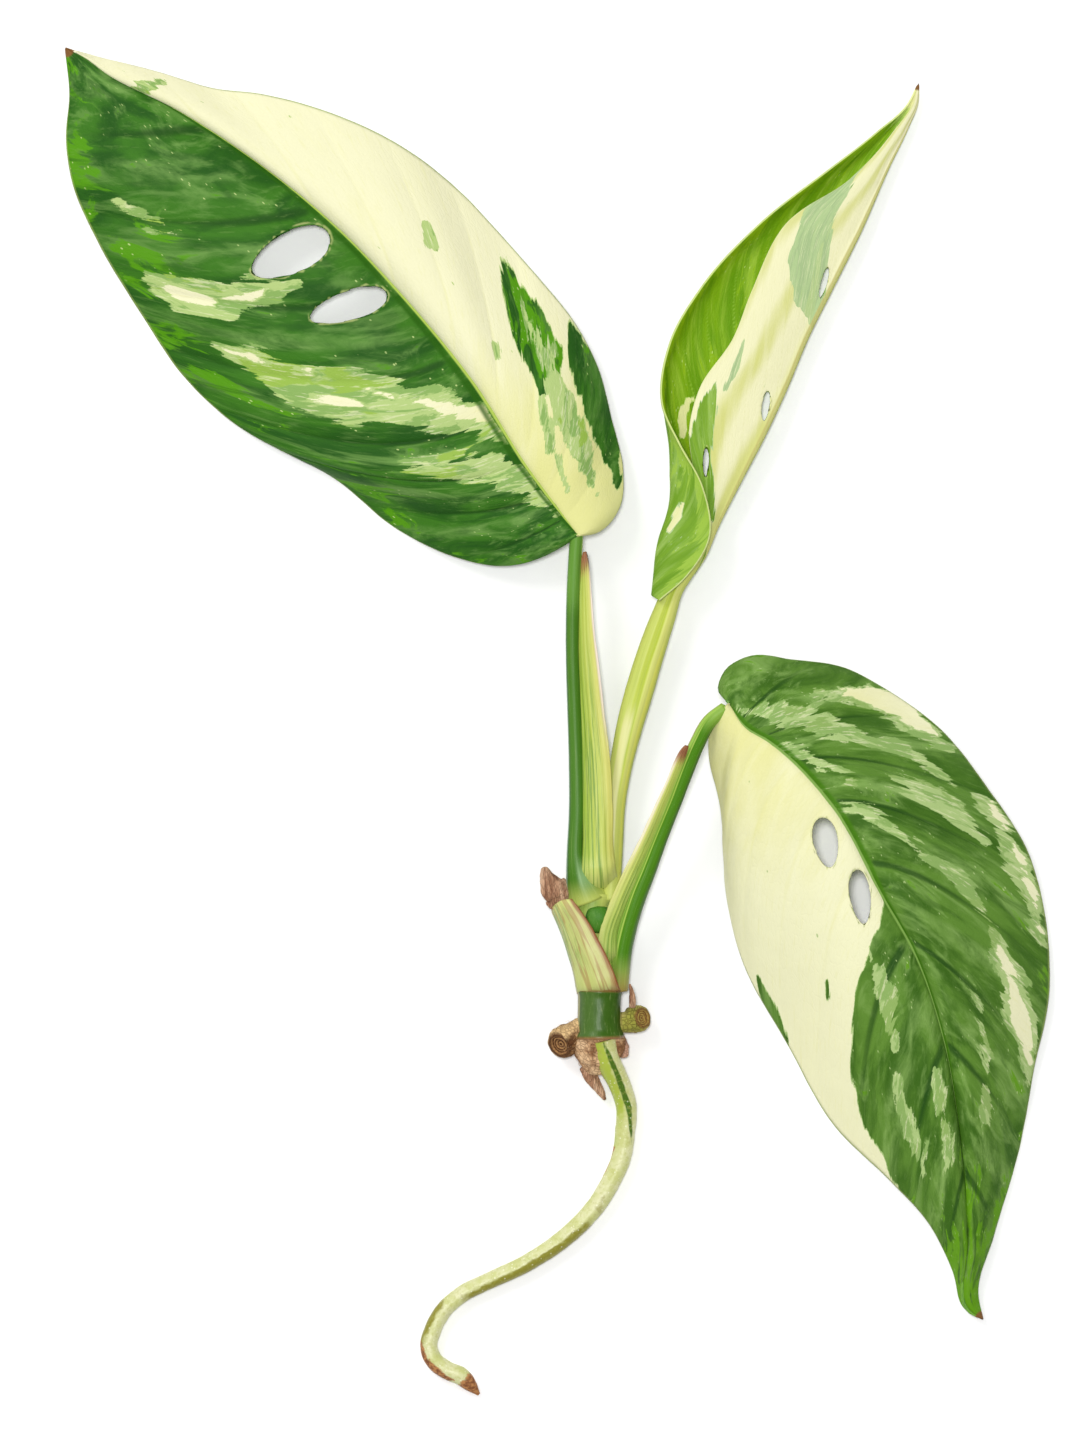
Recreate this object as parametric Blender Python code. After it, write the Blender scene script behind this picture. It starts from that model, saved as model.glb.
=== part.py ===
"""Cutting of a variegated monstera, lying on a table: three leaves, their stalks, a stem and its roots.

Sizes are in millimetres and are scaled to metres when each mesh is made. +Y runs up the cutting, +Z is up
from the table, and the table is at Z = 0 under the middle of the cutting.
"""

import math

import bmesh
import bpy
import numpy as np

MM = 0.001
GAP = 0.3  # between neighbouring pieces
BLADE_THICKNESS = 0.6
SHEATH_THICKNESS = 0.5
BLADE_ROWS = 22  # along a blade
BLADE_COLUMNS = 6  # across each half of a blade
SHEATH_ROWS = 11
SHEATH_COLUMNS = 6
UNDER_COLUMNS = 11  # from the wrapped edge round to the midrib of the rolled blade
ROLLED_DOME = 1.0
VEIN_BEND = 0.14  # how far the side veins bow back, as a share of their length
STALK_SIDES = 10
STEM_SIDES = 14
UPPER_STEM_SIDES = 12
ROOT_SIDES = 9
SMALL_SIDES = 8
HOLE_SIDES = 14
HOLE_BLUNTNESS = 0.18
HOLE_BOTTOM = -10.0
HOLE_TOP = 40.0
ORIGIN_SHIFT = (0.0, 0.2, -0.1)  # puts the middle of the whole cutting over the origin

# ---------------------------------------------------------------- blades: midrib and margins, base to tip

LEFT_MIDRIB = [
    (4.6, 41.9, 12.6), (-6.2, 56.3, 12.4), (-18.7, 76.1, 11.0), (-33.1, 94.0, 9.4), (-51.1, 112.9, 7.6),
    (-70.8, 128.6, 6.0), (-87.0, 138.9, 4.8), (-101.3, 146.1, 3.6),
    (-108.6, 151.3, 2.6), (-111.6, 152.5, 2.0),
]
LEFT_GREEN_MARGIN = [
    (4.6, 41.9, 12.6), (-3.5, 37.5, 9.5), (-11.6, 35.5, 7.0), (-22.3, 37.0, 4.4), (-35.5, 43.0, 1.0),
    (-51.1, 55.4, 1.6), (-63.6, 61.7, 3.6), (-74.4, 68.4, 1.6), (-85.2, 78.8, 0.5), (-94.1, 92.2, 0.9),
    (-104.0, 108.4, 2.6), (-109.9, 121.8, 3.6), (-111.4, 132.0, 4.0),
    (-110.6, 142.0, 3.2), (-111.6, 152.5, 2.0),
]
LEFT_CREAM_MARGIN = [
    (4.6, 41.9, 12.6), (9.6, 43.2, 10.6), (13.9, 48.6, 8.0), (14.5, 56.3, 5.4), (11.8, 68.9, 3.6),
    (9.1, 79.7, 3.4), (3.7, 90.4, 3.8), (-4.4, 100.3, 3.2), (-13.3, 110.6, 1.0), (-24.0, 121.8, 0.6),
    (-34.9, 129.9, 2.8), (-50.0, 137.2, 3.6), (-67.2, 142.1, 2.0), (-78.9, 143.6, 1.0), (-90.5, 147.0, 1.8),
    (-101.0, 149.6, 2.4), (-111.6, 152.5, 2.0),
]
LEFT_DOME = 4.0

RIGHT_MIDRIB = [
    (38.6, 4.0, 20.0), (41.8, -1.0, 21.2), (47.6, -4.6, 22.0), (61.7, -18.9, 22.6), (72.4, -38.1, 21.0),
    (80.9, -53.3, 18.4), (87.1, -71.8, 14.6), (91.0, -93.8, 9.8), (93.0, -116.4, 4.8), (93.9, -134.5, 2.0),
    (96.4, -135.6, 1.6),
]
RIGHT_GREEN_MARGIN = [
    (38.6, 4.0, 20.0), (36.2, 7.1, 16.4), (38.0, 11.6, 14.4), (44.0, 14.6, 13.0), (52.7, 13.6, 11.4),
    (63.9, 12.2, 9.0), (76.0, 6.0, 6.2), (86.5, -1.7, 4.4), (97.8, -16.0, 3.0), (106.3, -29.6, 2.2),
    (110.8, -46.5, 1.2), (111.4, -61.6, 2.2), (108.0, -78.5, 1.8), (105.2, -94.9, 0.6), (98.9, -116.4, 1.6),
    (95.4, -130.0, 2.0), (96.4, -135.6, 1.6),
]
RIGHT_CREAM_MARGIN = [
    (38.6, 4.0, 20.0), (35.3, 0.8, 17.6), (34.4, -7.0, 13.4), (36.6, -18.0, 9.4), (38.3, -38.1, 5.2),
    (43.6, -57.7, 3.0), (52.7, -74.0, 0.9), (63.9, -92.6, 0.5), (75.3, -103.9, 1.6), (84.0, -113.6, 2.6),
    (89.4, -124.3, 1.8), (92.6, -133.6, 1.6), (96.4, -135.6, 1.6),
]
RIGHT_DOME = 5.0

# The middle blade is half unrolled. Each station lists, from the edge that wraps over the front, round the
# left side and along the table to the midrib, and then over the top to the other edge.
MIDDLE_STATIONS = [
    ((23.0, 27.2, 10.6), (21.4, 28.4, 8.0), (24.6, 30.4, 3.2), (31.0, 33.4, 5.2), (31.4, 34.4, 6.4)),
    ((29.0, 32.4, 11.0), (21.8, 32.4, 6.6), (26.8, 34.6, 2.0), (33.4, 37.4, 5.6), (31.4, 38.4, 7.0)),
    ((34.4, 41.6, 11.2), (22.4, 38.0, 6.2), (28.4, 40.8, 1.1), (35.9, 43.6, 5.8), (31.0, 45.4, 7.4)),
    ((32.8, 53.0, 11.0), (25.4, 49.6, 6.0), (32.0, 51.0, 0.8), (40.8, 53.6, 6.0), (30.8, 55.4, 7.6)),
    ((27.6, 62.6, 9.4), (25.4, 60.6, 5.8), (36.0, 63.0, 0.6), (46.2, 64.0, 6.0), (29.8, 66.2, 7.8)),
    ((23.6, 71.6, 7.2), (24.4, 72.4, 4.6), (38.0, 75.6, 0.6), (51.4, 75.2, 5.6), (32.2, 75.4, 8.4)),
    ((25.4, 85.6, 6.0), (27.8, 86.4, 3.2), (43.0, 88.0, 0.5), (56.6, 87.6, 5.2), (39.6, 86.4, 8.8)),
    ((32.4, 98.0, 5.4), (35.2, 98.4, 2.8), (48.0, 100.0, 0.5), (61.6, 97.6, 4.8), (43.8, 97.0, 8.6)),
    ((45.4, 112.2, 4.6), (48.2, 112.2, 2.4), (57.0, 113.6, 0.5), (68.2, 110.8, 4.2), (51.4, 112.2, 7.4)),
    ((61.6, 125.0, 3.8), (63.6, 125.0, 2.2), (68.4, 127.2, 0.6), (75.2, 126.4, 3.4), (66.8, 123.2, 5.4)),
    ((72.6, 133.6, 2.9), (73.8, 133.6, 2.0), (76.2, 134.8, 1.2), (79.4, 134.8, 2.6), (76.4, 133.8, 3.6)),
    ((79.3, 139.6, 2.2), (79.6, 139.8, 1.8), (80.4, 140.0, 1.5), (81.6, 140.0, 2.0), (80.6, 139.8, 2.5)),
    ((81.9, 144.6, 1.9), (81.9, 144.6, 1.9), (81.9, 144.6, 1.9), (81.9, 144.6, 1.9), (81.9, 144.6, 1.9)),
]

# Each hole: middle x and y, length, width, and the direction of its blunt end in degrees.
LEFT_HOLES = [(-60.4, 105.8, 19.5, 9.5, 27.0), (-47.3, 93.8, 18.4, 6.8, 18.0)]
RIGHT_HOLES = [(60.3, -27.4, 11.4, 5.6, 100.0), (68.1, -39.6, 12.4, 4.8, 98.0)]
MIDDLE_HOLES = [(60.3, 99.2, 7.5, 1.6, 75.0), (47.1, 71.3, 7.0, 2.0, 82.0), (33.6, 58.6, 7.0, 1.5, 88.0)]

# ------------------------------------------------- stalks, stem and roots: x, y, z, width and height

LEFT_PETIOLE = [
    (6.4, -39.7, 7.2, 10.4, 7.0), (5.3, -36.6, 7.8, 7.0, 5.8), (4.3, -31.0, 8.2, 4.6, 4.4),
    (4.5, -20.0, 8.4, 3.9, 3.8), (4.3, -9.0, 8.6, 3.6, 3.6), (3.8, 4.0, 9.0, 3.3, 3.4),
    (3.4, 18.0, 9.8, 3.2, 3.2), (3.6, 30.0, 10.8, 3.1, 3.0), (4.2, 40.6, 11.9, 3.0, 2.8),
]
MIDDLE_PETIOLE = [
    (12.0, -39.6, 6.4, 4.6, 4.6), (12.6, -29.0, 6.2, 4.4, 4.4), (13.2, -18.0, 6.0, 4.6, 4.4),
    (14.6, -8.9, 6.0, 5.2, 4.6), (16.4, -0.9, 6.0, 6.0, 4.8), (18.6, 7.0, 6.1, 6.4, 4.8),
    (21.0, 15.0, 6.3, 6.2, 4.6), (23.7, 22.9, 6.5, 5.6, 4.4), (26.4, 30.0, 6.7, 4.4, 3.6),
]
RIGHT_PETIOLE = [
    (13.8, -60.6, 6.2, 4.4, 5.0), (14.7, -50.6, 7.8, 4.8, 4.8), (17.0, -42.0, 9.2, 4.6, 4.6),
    (20.2, -33.8, 10.6, 4.2, 4.2), (23.2, -25.9, 12.0, 3.8, 3.8), (26.4, -17.9, 13.9, 3.6, 3.6),
    (29.4, -10.0, 16.0, 3.6, 3.4), (31.8, -4.4, 17.8, 3.5, 3.3), (34.0, -0.4, 19.0, 3.3, 3.2),
    (37.0, 2.2, 19.5, 2.8, 2.8),
]
STEM_UPPER = [
    (8.0, -40.4, 6.0, 9.0, 7.2), (7.6, -46.0, 5.8, 8.0, 7.4),
    (8.6, -53.0, 5.9, 8.0, 7.6), (9.4, -60.2, 6.2, 9.4, 8.4),
]
STEM_LOWER = [(9.5, -61.3, 6.8, 9.8, 9.0), (9.4, -65.0, 6.8, 9.6, 9.0), (9.5, -71.6, 6.8, 10.2, 9.4)]
NODE_CORK = [
    (9.4, -71.9, 5.8, 12.2, 8.8), (9.2, -74.6, 5.4, 11.4, 8.0),
    (9.2, -77.8, 5.0, 7.4, 6.0), (9.6, -80.2, 4.6, 3.0, 2.6),
]
AERIAL_ROOT = [
    (10.2, -71.9, 7.6, 6.8, 6.0), (11.2, -76.3, 6.6, 6.0, 5.4), (13.9, -82.0, 4.4, 5.2, 4.8),
    (15.6, -87.6, 2.9, 4.8, 4.6), (15.3, -93.3, 2.4, 4.6, 4.5), (14.5, -98.9, 2.3, 4.5, 4.4),
    (12.0, -104.6, 2.3, 4.4, 4.3), (8.9, -109.7, 2.2, 4.3, 4.2), (3.8, -115.3, 2.2, 4.2, 4.1),
    (-1.9, -119.8, 2.1, 4.0, 4.0), (-8.6, -123.8, 2.1, 3.8, 3.9), (-16.0, -127.2, 2.0, 3.7, 3.8),
    (-21.6, -130.0, 2.0, 3.7, 3.8), (-25.6, -133.4, 2.0, 3.8, 3.8), (-28.2, -137.9, 2.0, 3.9, 3.8),
    (-29.2, -141.8, 2.0, 4.0, 3.8), (-27.9, -145.2, 2.0, 4.2, 3.9), (-25.2, -147.2, 2.0, 4.3, 3.9),
    (-22.0, -148.6, 2.0, 4.2, 3.9), (-19.8, -150.6, 1.7, 3.2, 3.0), (-17.9, -152.8, 1.0, 0.8, 0.8),
]
ROOT_STUB_LEFT = [
    (6.0, -69.8, 5.8, 5.4, 5.6), (3.8, -71.0, 5.6, 6.0, 6.2),
    (1.4, -72.7, 5.4, 7.2, 7.2), (0.3, -73.5, 5.4, 6.4, 6.6),
]
ROOT_STUB_RIGHT = [
    (13.6, -68.4, 5.6, 4.4, 4.6), (15.6, -68.2, 5.4, 4.8, 5.0),
    (18.0, -67.5, 5.2, 6.2, 6.2), (19.4, -67.2, 5.2, 5.0, 5.2),
]
ROOT_STUB_SMALL = [(14.2, -72.6, 4.6, 2.4, 2.6), (14.8, -74.4, 4.4, 2.8, 2.8), (15.1, -76.4, 4.2, 1.6, 1.8)]
DRY_SPIKE = [(16.9, -65.0, 8.0, 1.6, 1.4), (16.9, -62.4, 8.6, 1.4, 1.2), (16.3, -59.4, 9.0, 0.5, 0.5)]
DRY_SCALE = [
    (6.0, -78.0, 3.8, 2.6, 1.8), (7.4, -80.4, 3.4, 3.0, 1.6),
    (9.2, -83.2, 2.9, 2.2, 1.3), (10.8, -86.0, 2.4, 0.6, 0.6),
]
AXILLARY_BUD = [
    (9.6, -48.0, 9.6, 1.6, 1.2), (9.4, -46.4, 10.0, 4.0, 2.4),
    (9.2, -44.0, 10.2, 4.8, 3.0), (9.0, -41.9, 10.0, 3.0, 2.0),
]
OLD_SHEATH_TIP = [
    (0.4, -39.4, 7.6, 6.2, 4.4), (-1.4, -37.4, 7.8, 6.0, 4.2),
    (-2.4, -35.4, 8.0, 4.2, 3.2), (-3.2, -33.0, 8.2, 1.6, 1.4),
]

# ---------------------------------------------------------------- sheaths: points across, at each station

LEFT_SHEATH = [
    ((6.3, -37.6, 11.6), (8.4, -38.2, 12.0), (11.2, -37.8, 11.4), (13.6, -36.6, 10.0)),
    ((6.8, -29.0, 10.8), (8.6, -29.0, 11.6), (10.8, -29.0, 11.4), (12.6, -29.0, 10.4)),
    ((6.8, -18.0, 10.4), (8.6, -18.0, 11.2), (10.4, -18.0, 11.2), (12.4, -18.0, 10.6)),
    ((6.6, -8.0, 10.2), (8.2, -8.0, 11.0), (10.0, -8.0, 11.1), (11.8, -8.0, 10.6)),
    ((6.2, 2.0, 10.0), (7.6, 2.0, 10.8), (9.0, 2.0, 11.0), (10.6, 2.0, 10.6)),
    ((5.7, 12.0, 10.2), (6.8, 12.0, 10.9), (7.9, 12.0, 11.2), (9.4, 12.0, 11.0)),
    ((5.5, 22.0, 10.9), (6.3, 22.0, 11.4), (7.1, 22.0, 11.7), (8.2, 22.0, 11.6)),
    ((5.7, 31.0, 11.6), (6.2, 31.0, 12.0), (6.8, 31.0, 12.2), (7.6, 31.0, 12.1)),
    ((6.3, 38.2, 12.4), (6.7, 38.4, 12.6), (7.0, 38.6, 12.7), (7.5, 38.8, 12.6)),
]
RIGHT_SHEATH = [
    ((12.6, -47.6, 10.9), (11.4, -47.8, 11.4), (10.4, -48.0, 11.6), (9.4, -48.2, 11.5)),
    ((14.4, -42.0, 11.6), (13.4, -42.0, 12.2), (12.4, -42.0, 12.3), (11.5, -42.0, 12.1)),
    ((17.6, -34.6, 12.4), (16.5, -34.8, 13.0), (15.4, -35.0, 13.2), (14.3, -35.2, 13.1)),
    ((20.7, -27.0, 13.6), (19.9, -27.4, 14.2), (19.0, -27.6, 14.4), (18.0, -27.8, 14.3)),
    ((24.0, -18.6, 15.4), (23.4, -18.9, 15.9), (22.7, -19.1, 16.1), (21.9, -19.3, 16.0)),
    ((26.9, -11.2, 17.4), (26.4, -11.4, 17.8), (25.9, -11.6, 18.0), (25.2, -11.9, 17.9)),
    ((29.0, -5.6, 19.4), (28.6, -5.4, 19.6), (28.2, -5.2, 19.7), (27.8, -5.0, 19.6)),
]
OLD_SHEATH = [
    ((-1.2, -43.2, 4.6), (-0.6, -41.6, 9.2), (1.4, -40.4, 11.4), (3.2, -40.2, 11.6)),
    ((1.0, -48.4, 3.4), (1.6, -47.0, 9.4), (4.6, -45.8, 12.2), (6.8, -45.2, 12.2)),
    ((2.6, -53.2, 2.8), (3.2, -52.4, 9.2), (6.8, -51.6, 12.4), (9.9, -50.8, 12.4)),
    ((3.9, -57.4, 2.6), (4.4, -57.2, 9.0), (8.2, -56.6, 12.4), (12.2, -55.6, 12.4)),
    ((4.6, -60.2, 3.0), (4.8, -60.6, 9.0), (8.6, -60.2, 12.0), (13.8, -59.8, 11.4)),
]

# ---------------------------------------------------------------- colours: red, green, blue, and roughness

DARK_GREEN = ((0.05, 0.19, 0.04), 0.4)
LIGHT_GREEN = ((0.26, 0.47, 0.06), 0.45)
PALE_GREEN = ((0.56, 0.60, 0.18), 0.5)
CREAM = ((0.85, 0.83, 0.58), 0.45)
DRY_BROWN = ((0.33, 0.19, 0.10), 0.85)
ROOT_CREAM = ((0.62, 0.62, 0.32), 0.5)


def smooth_line(points, samples):
    """Points on a smooth curve through the given points, at parameters from 0 to 1 of its chord length."""
    pts = np.array(points, float)
    steps = np.maximum(np.linalg.norm(np.diff(pts[:, :3], axis=0), axis=1), 1e-6)
    knots = np.concatenate([[0.0], np.cumsum(steps)])
    knots /= knots[-1]
    slopes = np.gradient(pts, knots, axis=0)
    found = []
    for s in samples:
        i = min(int(np.searchsorted(knots, s, side="right")) - 1, len(pts) - 2)
        h = knots[i + 1] - knots[i]
        t = (s - knots[i]) / h
        low = (2 * t**3 - 3 * t**2 + 1) * pts[i] + (t**3 - 2 * t**2 + t) * h * slopes[i]
        high = (3 * t**2 - 2 * t**3) * pts[i + 1] + (t**3 - t**2) * h * slopes[i + 1]
        found.append(low + high)
    return np.array(found)


def add_object(name, vertices, faces, look=None):
    """A mesh object from points in millimetres; a look is a colour and a roughness."""
    mesh = bpy.data.meshes.new(name)
    shift = np.array(ORIGIN_SHIFT)
    mesh.from_pydata([tuple((np.array(v) + shift) * MM) for v in vertices], [], faces)
    bm = bmesh.new()
    bm.from_mesh(mesh)
    bmesh.ops.remove_doubles(bm, verts=bm.verts, dist=0.02 * MM)
    bmesh.ops.dissolve_degenerate(bm, edges=bm.edges, dist=0.01 * MM)
    if all(len(edge.link_faces) == 2 for edge in bm.edges):
        bmesh.ops.recalc_face_normals(bm, faces=bm.faces)
    bm.to_mesh(mesh)
    bm.free()
    mesh.shade_smooth()
    obj = bpy.data.objects.new(name, mesh)
    bpy.context.scene.collection.objects.link(obj)
    if look is not None:
        colour, roughness = look
        material = bpy.data.materials.new(name)
        material.use_nodes = True
        shader = material.node_tree.nodes["Principled BSDF"]
        shader.inputs["Base Color"].default_value = (*colour, 1.0)
        shader.inputs["Roughness"].default_value = roughness
        mesh.materials.append(material)
    return obj


def grid_faces(rows, columns):
    """Quads of a grid whose points run along each row in turn."""
    faces = []
    for r in range(rows - 1):
        for c in range(columns - 1):
            a = r * columns + c
            faces.append((a, a + 1, a + columns + 1, a + columns))
    return faces


def sheet(name, grid, look, thickness):
    """A thin closed shell on both sides of a grid of points."""
    rows, columns = len(grid), len(grid[0])
    points = [p for row in grid for p in row]
    obj = add_object(name, points, grid_faces(rows, columns), look)
    shell = obj.modifiers.new("Thickness", "SOLIDIFY")
    shell.thickness = thickness * MM
    shell.offset = 0.0
    shell.use_even_offset = False
    return obj


def vein_start(s):
    """Where the side vein number s leaves the midrib; the veins crowd together near the base."""
    return 0.25 * s + 0.75 * s**2.6


def vein_end(s):
    """Where the side vein number s meets the margin."""
    return s + 0.5 * s * (1 - s) ** 2


def half_blade(midrib, margin, dome):
    """A grid from a midrib out to a margin, along the side veins, arched upwards between the two."""
    along = np.linspace(0.0, 1.0, BLADE_ROWS)
    inner = smooth_line(midrib, vein_start(along))
    outer = smooth_line(margin, vein_end(along))
    ahead = np.gradient(inner, axis=0)
    ahead /= np.maximum(np.linalg.norm(ahead, axis=1), 1e-6)[:, None]
    grid = []
    for r in range(BLADE_ROWS):
        reach = np.linalg.norm(outer[r] - inner[r])
        bend = ahead[r] * reach * -VEIN_BEND * math.sin(math.pi * along[r])
        row = []
        for v in np.linspace(0.0, 1.0, BLADE_COLUMNS + 1):
            point = inner[r] * (1 - v) + outer[r] * v + bend * 4 * v * (1 - v)
            point[2] += dome * 4 * v**0.85 * (1 - v) * math.sin(math.pi * min(0.98, along[r] + 0.02)) ** 0.6
            row.append(point)
        grid.append(row)
    return grid


def flat_blade(name, midrib, left_margin, right_margin, dome, look):
    left = half_blade(midrib, left_margin, dome)
    right = half_blade(midrib, right_margin, dome)
    grid = [list(reversed(l)) + r[1:] for l, r in zip(left, right)]
    return sheet(name, grid, look, BLADE_THICKNESS)


def rolled_blade(name, stations, look):
    """The half unrolled blade: smooth lines round each station and from station to station."""
    along = np.linspace(0.0, 1.0, BLADE_ROWS)
    guides = [smooth_line([station[g] for station in stations], along) for g in range(5)]
    grid = []
    for r in range(BLADE_ROWS):
        edge, side, under, rib, margin = (guide[r] for guide in guides)
        if np.linalg.norm(edge - margin) < 0.01:
            grid.append([edge] * (UNDER_COLUMNS + BLADE_COLUMNS))
            continue
        lower = smooth_line([edge, side, under, rib], np.linspace(0.0, 1.0, UNDER_COLUMNS))
        upper = []
        for v in np.linspace(0.0, 1.0, BLADE_COLUMNS + 1)[1:]:
            point = rib * (1 - v) + margin * v
            point[2] += ROLLED_DOME * 4 * v * (1 - v) * math.sin(math.pi * along[r]) ** 0.5
            upper.append(point)
        grid.append(list(lower) + upper)
    return sheet(name, grid, look, BLADE_THICKNESS)


def tube(name, stations, look=None, grow=0.0, rings=None, sides=STALK_SIDES):
    """A closed stalk through stations; grow widens it and lengthens its ends."""
    rings = rings or 2 * len(stations) - 1
    line = smooth_line(stations, np.linspace(0.0, 1.0, rings))
    ahead = np.gradient(line[:, :3], axis=0)
    ahead /= np.linalg.norm(ahead, axis=1)[:, None]
    line[0, :3] -= ahead[0] * grow
    line[-1, :3] += ahead[-1] * grow
    vertices = []
    for r in range(rings):
        side = np.cross(ahead[r], (0.0, 0.0, 1.0))
        side /= np.linalg.norm(side)
        up = np.cross(side, ahead[r])
        for k in range(sides):
            turn = 2 * math.pi * k / sides
            wide = (line[r, 3] / 2 + grow) * math.cos(turn)
            high = (line[r, 4] / 2 + grow) * math.sin(turn)
            vertices.append(line[r, :3] + side * wide + up * high)
    faces = [tuple(range(sides)), tuple(reversed(range((rings - 1) * sides, rings * sides)))]
    for r in range(rings - 1):
        for k in range(sides):
            a, b = r * sides + k, r * sides + (k + 1) % sides
            faces.append((a, a + sides, b + sides, b))
    return add_object(name, vertices, faces, look)


def hide_cutter(cutter):
    cutter.hide_render = True
    cutter.display_type = "WIRE"


def cut_away(obj, cutter):
    """Takes a cutter's volume out of an object."""
    hide_cutter(cutter)
    cut = obj.modifiers.new("Cut", "BOOLEAN")
    cut.operation = "DIFFERENCE"
    cut.solver = "EXACT"
    cut.object = cutter


def hole_cutter(name, hole):
    """An upright prism with an egg-shaped outline, blunt towards the hole's direction."""
    x, y, length, width, angle = hole
    turn = math.radians(angle)
    outline = []
    for k in range(HOLE_SIDES):
        a = 2 * math.pi * k / HOLE_SIDES
        out = length / 2 * math.cos(a)
        across = width / 2 * math.sin(a) * (1 + HOLE_BLUNTNESS * math.cos(a))
        outline.append((x + out * math.cos(turn) - across * math.sin(turn),
                        y + out * math.sin(turn) + across * math.cos(turn)))
    vertices = [(px, py, z) for z in (HOLE_BOTTOM, HOLE_TOP) for px, py in outline]
    count = len(outline)
    faces = [tuple(range(count)), tuple(range(count, 2 * count))]
    for k in range(count):
        n = (k + 1) % count
        faces.append((k, n, n + count, k + count))
    return add_object(name, vertices, faces)


def pierce(blade, holes):
    for number, hole in enumerate(holes, 1):
        cut_away(blade, hole_cutter(f"{blade.name}_hole_{number}", hole))


def clear_of(obj, neighbours):
    """Keeps a piece the usual gap away from stalks that it touches."""
    for name, stations in neighbours.items():
        cut_away(obj, tube(f"{obj.name}_room_for_{name}", stations, grow=GAP))


def build_blades():
    left = flat_blade("leaf_blade_left", LEFT_MIDRIB, LEFT_GREEN_MARGIN, LEFT_CREAM_MARGIN, LEFT_DOME, CREAM)
    pierce(left, LEFT_HOLES)
    clear_of(left, {"petiole": LEFT_PETIOLE})
    right = flat_blade(
        "leaf_blade_right", RIGHT_MIDRIB, RIGHT_CREAM_MARGIN, RIGHT_GREEN_MARGIN, RIGHT_DOME, DARK_GREEN
    )
    pierce(right, RIGHT_HOLES)
    clear_of(right, {"petiole": RIGHT_PETIOLE})
    middle = rolled_blade("leaf_blade_middle", MIDDLE_STATIONS, LIGHT_GREEN)
    pierce(middle, MIDDLE_HOLES)
    clear_of(middle, {"petiole": MIDDLE_PETIOLE})


def build_stalks():
    left = tube("petiole_left", LEFT_PETIOLE, DARK_GREEN)
    middle = tube("petiole_middle", MIDDLE_PETIOLE, PALE_GREEN)
    right = tube("petiole_right", RIGHT_PETIOLE, LIGHT_GREEN)
    clear_of(left, {"stem_upper": STEM_UPPER})
    clear_of(middle, {"petiole_left": LEFT_PETIOLE})
    clear_of(right, {"stem_upper": STEM_UPPER, "stem_lower": STEM_LOWER})


def build_sheaths():
    around_old_sheath = {
        "right": RIGHT_PETIOLE,
        "stem": STEM_UPPER,
        "node": STEM_LOWER,
        "tip": OLD_SHEATH_TIP,
    }
    along = np.linspace(0.0, 1.0, SHEATH_ROWS)
    across = np.linspace(0.0, 1.0, SHEATH_COLUMNS)
    for name, stations, neighbours in (
        ("petiole_sheath_left", LEFT_SHEATH, {"left": LEFT_PETIOLE, "middle": MIDDLE_PETIOLE}),
        ("petiole_sheath_right", RIGHT_SHEATH, {"right": RIGHT_PETIOLE, "bud": AXILLARY_BUD}),
        ("old_sheath", OLD_SHEATH, around_old_sheath),
    ):
        guides = [smooth_line(line, along) for line in zip(*stations)]
        grid = [list(smooth_line([guide[r] for guide in guides], across)) for r in range(SHEATH_ROWS)]
        clear_of(sheet(name, grid, PALE_GREEN, SHEATH_THICKNESS), neighbours)


def build_stem_and_roots():
    tube("stem_upper", STEM_UPPER, PALE_GREEN, sides=UPPER_STEM_SIDES)
    tube("stem_lower", STEM_LOWER, DARK_GREEN, sides=STEM_SIDES)
    cork = tube("node_cork", NODE_CORK, DRY_BROWN, sides=STEM_SIDES)
    clear_of(cork, {"root": AERIAL_ROOT, "stem": STEM_LOWER})
    root = tube("aerial_root", AERIAL_ROOT, ROOT_CREAM, sides=ROOT_SIDES)
    clear_of(root, {"stem": STEM_LOWER})
    for name, stations, neighbours in (
        ("root_stub_left", ROOT_STUB_LEFT, {"stem": STEM_LOWER, "cork": NODE_CORK}),
        ("root_stub_right", ROOT_STUB_RIGHT, {"stem": STEM_LOWER, "cork": NODE_CORK}),
        ("root_stub_small", ROOT_STUB_SMALL, {"cork": NODE_CORK, "root": AERIAL_ROOT}),
        ("dry_spike", DRY_SPIKE, {"stub": ROOT_STUB_RIGHT}),
        ("dry_scale", DRY_SCALE, {"cork": NODE_CORK, "root": AERIAL_ROOT}),
    ):
        clear_of(tube(name, stations, DRY_BROWN, sides=SMALL_SIDES), neighbours)
    bud = tube("axillary_bud", AXILLARY_BUD, DARK_GREEN, sides=SMALL_SIDES)
    clear_of(bud, {"stem": STEM_UPPER, "petiole_right": RIGHT_PETIOLE, "petiole_left": LEFT_PETIOLE})
    tip = tube("old_sheath_tip", OLD_SHEATH_TIP, DRY_BROWN, sides=SMALL_SIDES)
    clear_of(tip, {"petiole": LEFT_PETIOLE, "stem": STEM_UPPER})


def build():
    """Makes the whole cutting in an empty file."""
    for obj in list(bpy.data.objects):
        bpy.data.objects.remove(obj)
    build_blades()
    build_stalks()
    build_sheaths()
    build_stem_and_roots()


build()
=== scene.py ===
"""Looks of the variegated monstera cutting: blades, stalks, sheaths, stem and roots, lying on a pale table.

Places are in millimetres in the frame's own axes and are scaled to metres when a mesh is made.
"""

import math

import bmesh
import bpy
import numpy as np
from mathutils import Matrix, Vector, noise


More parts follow.
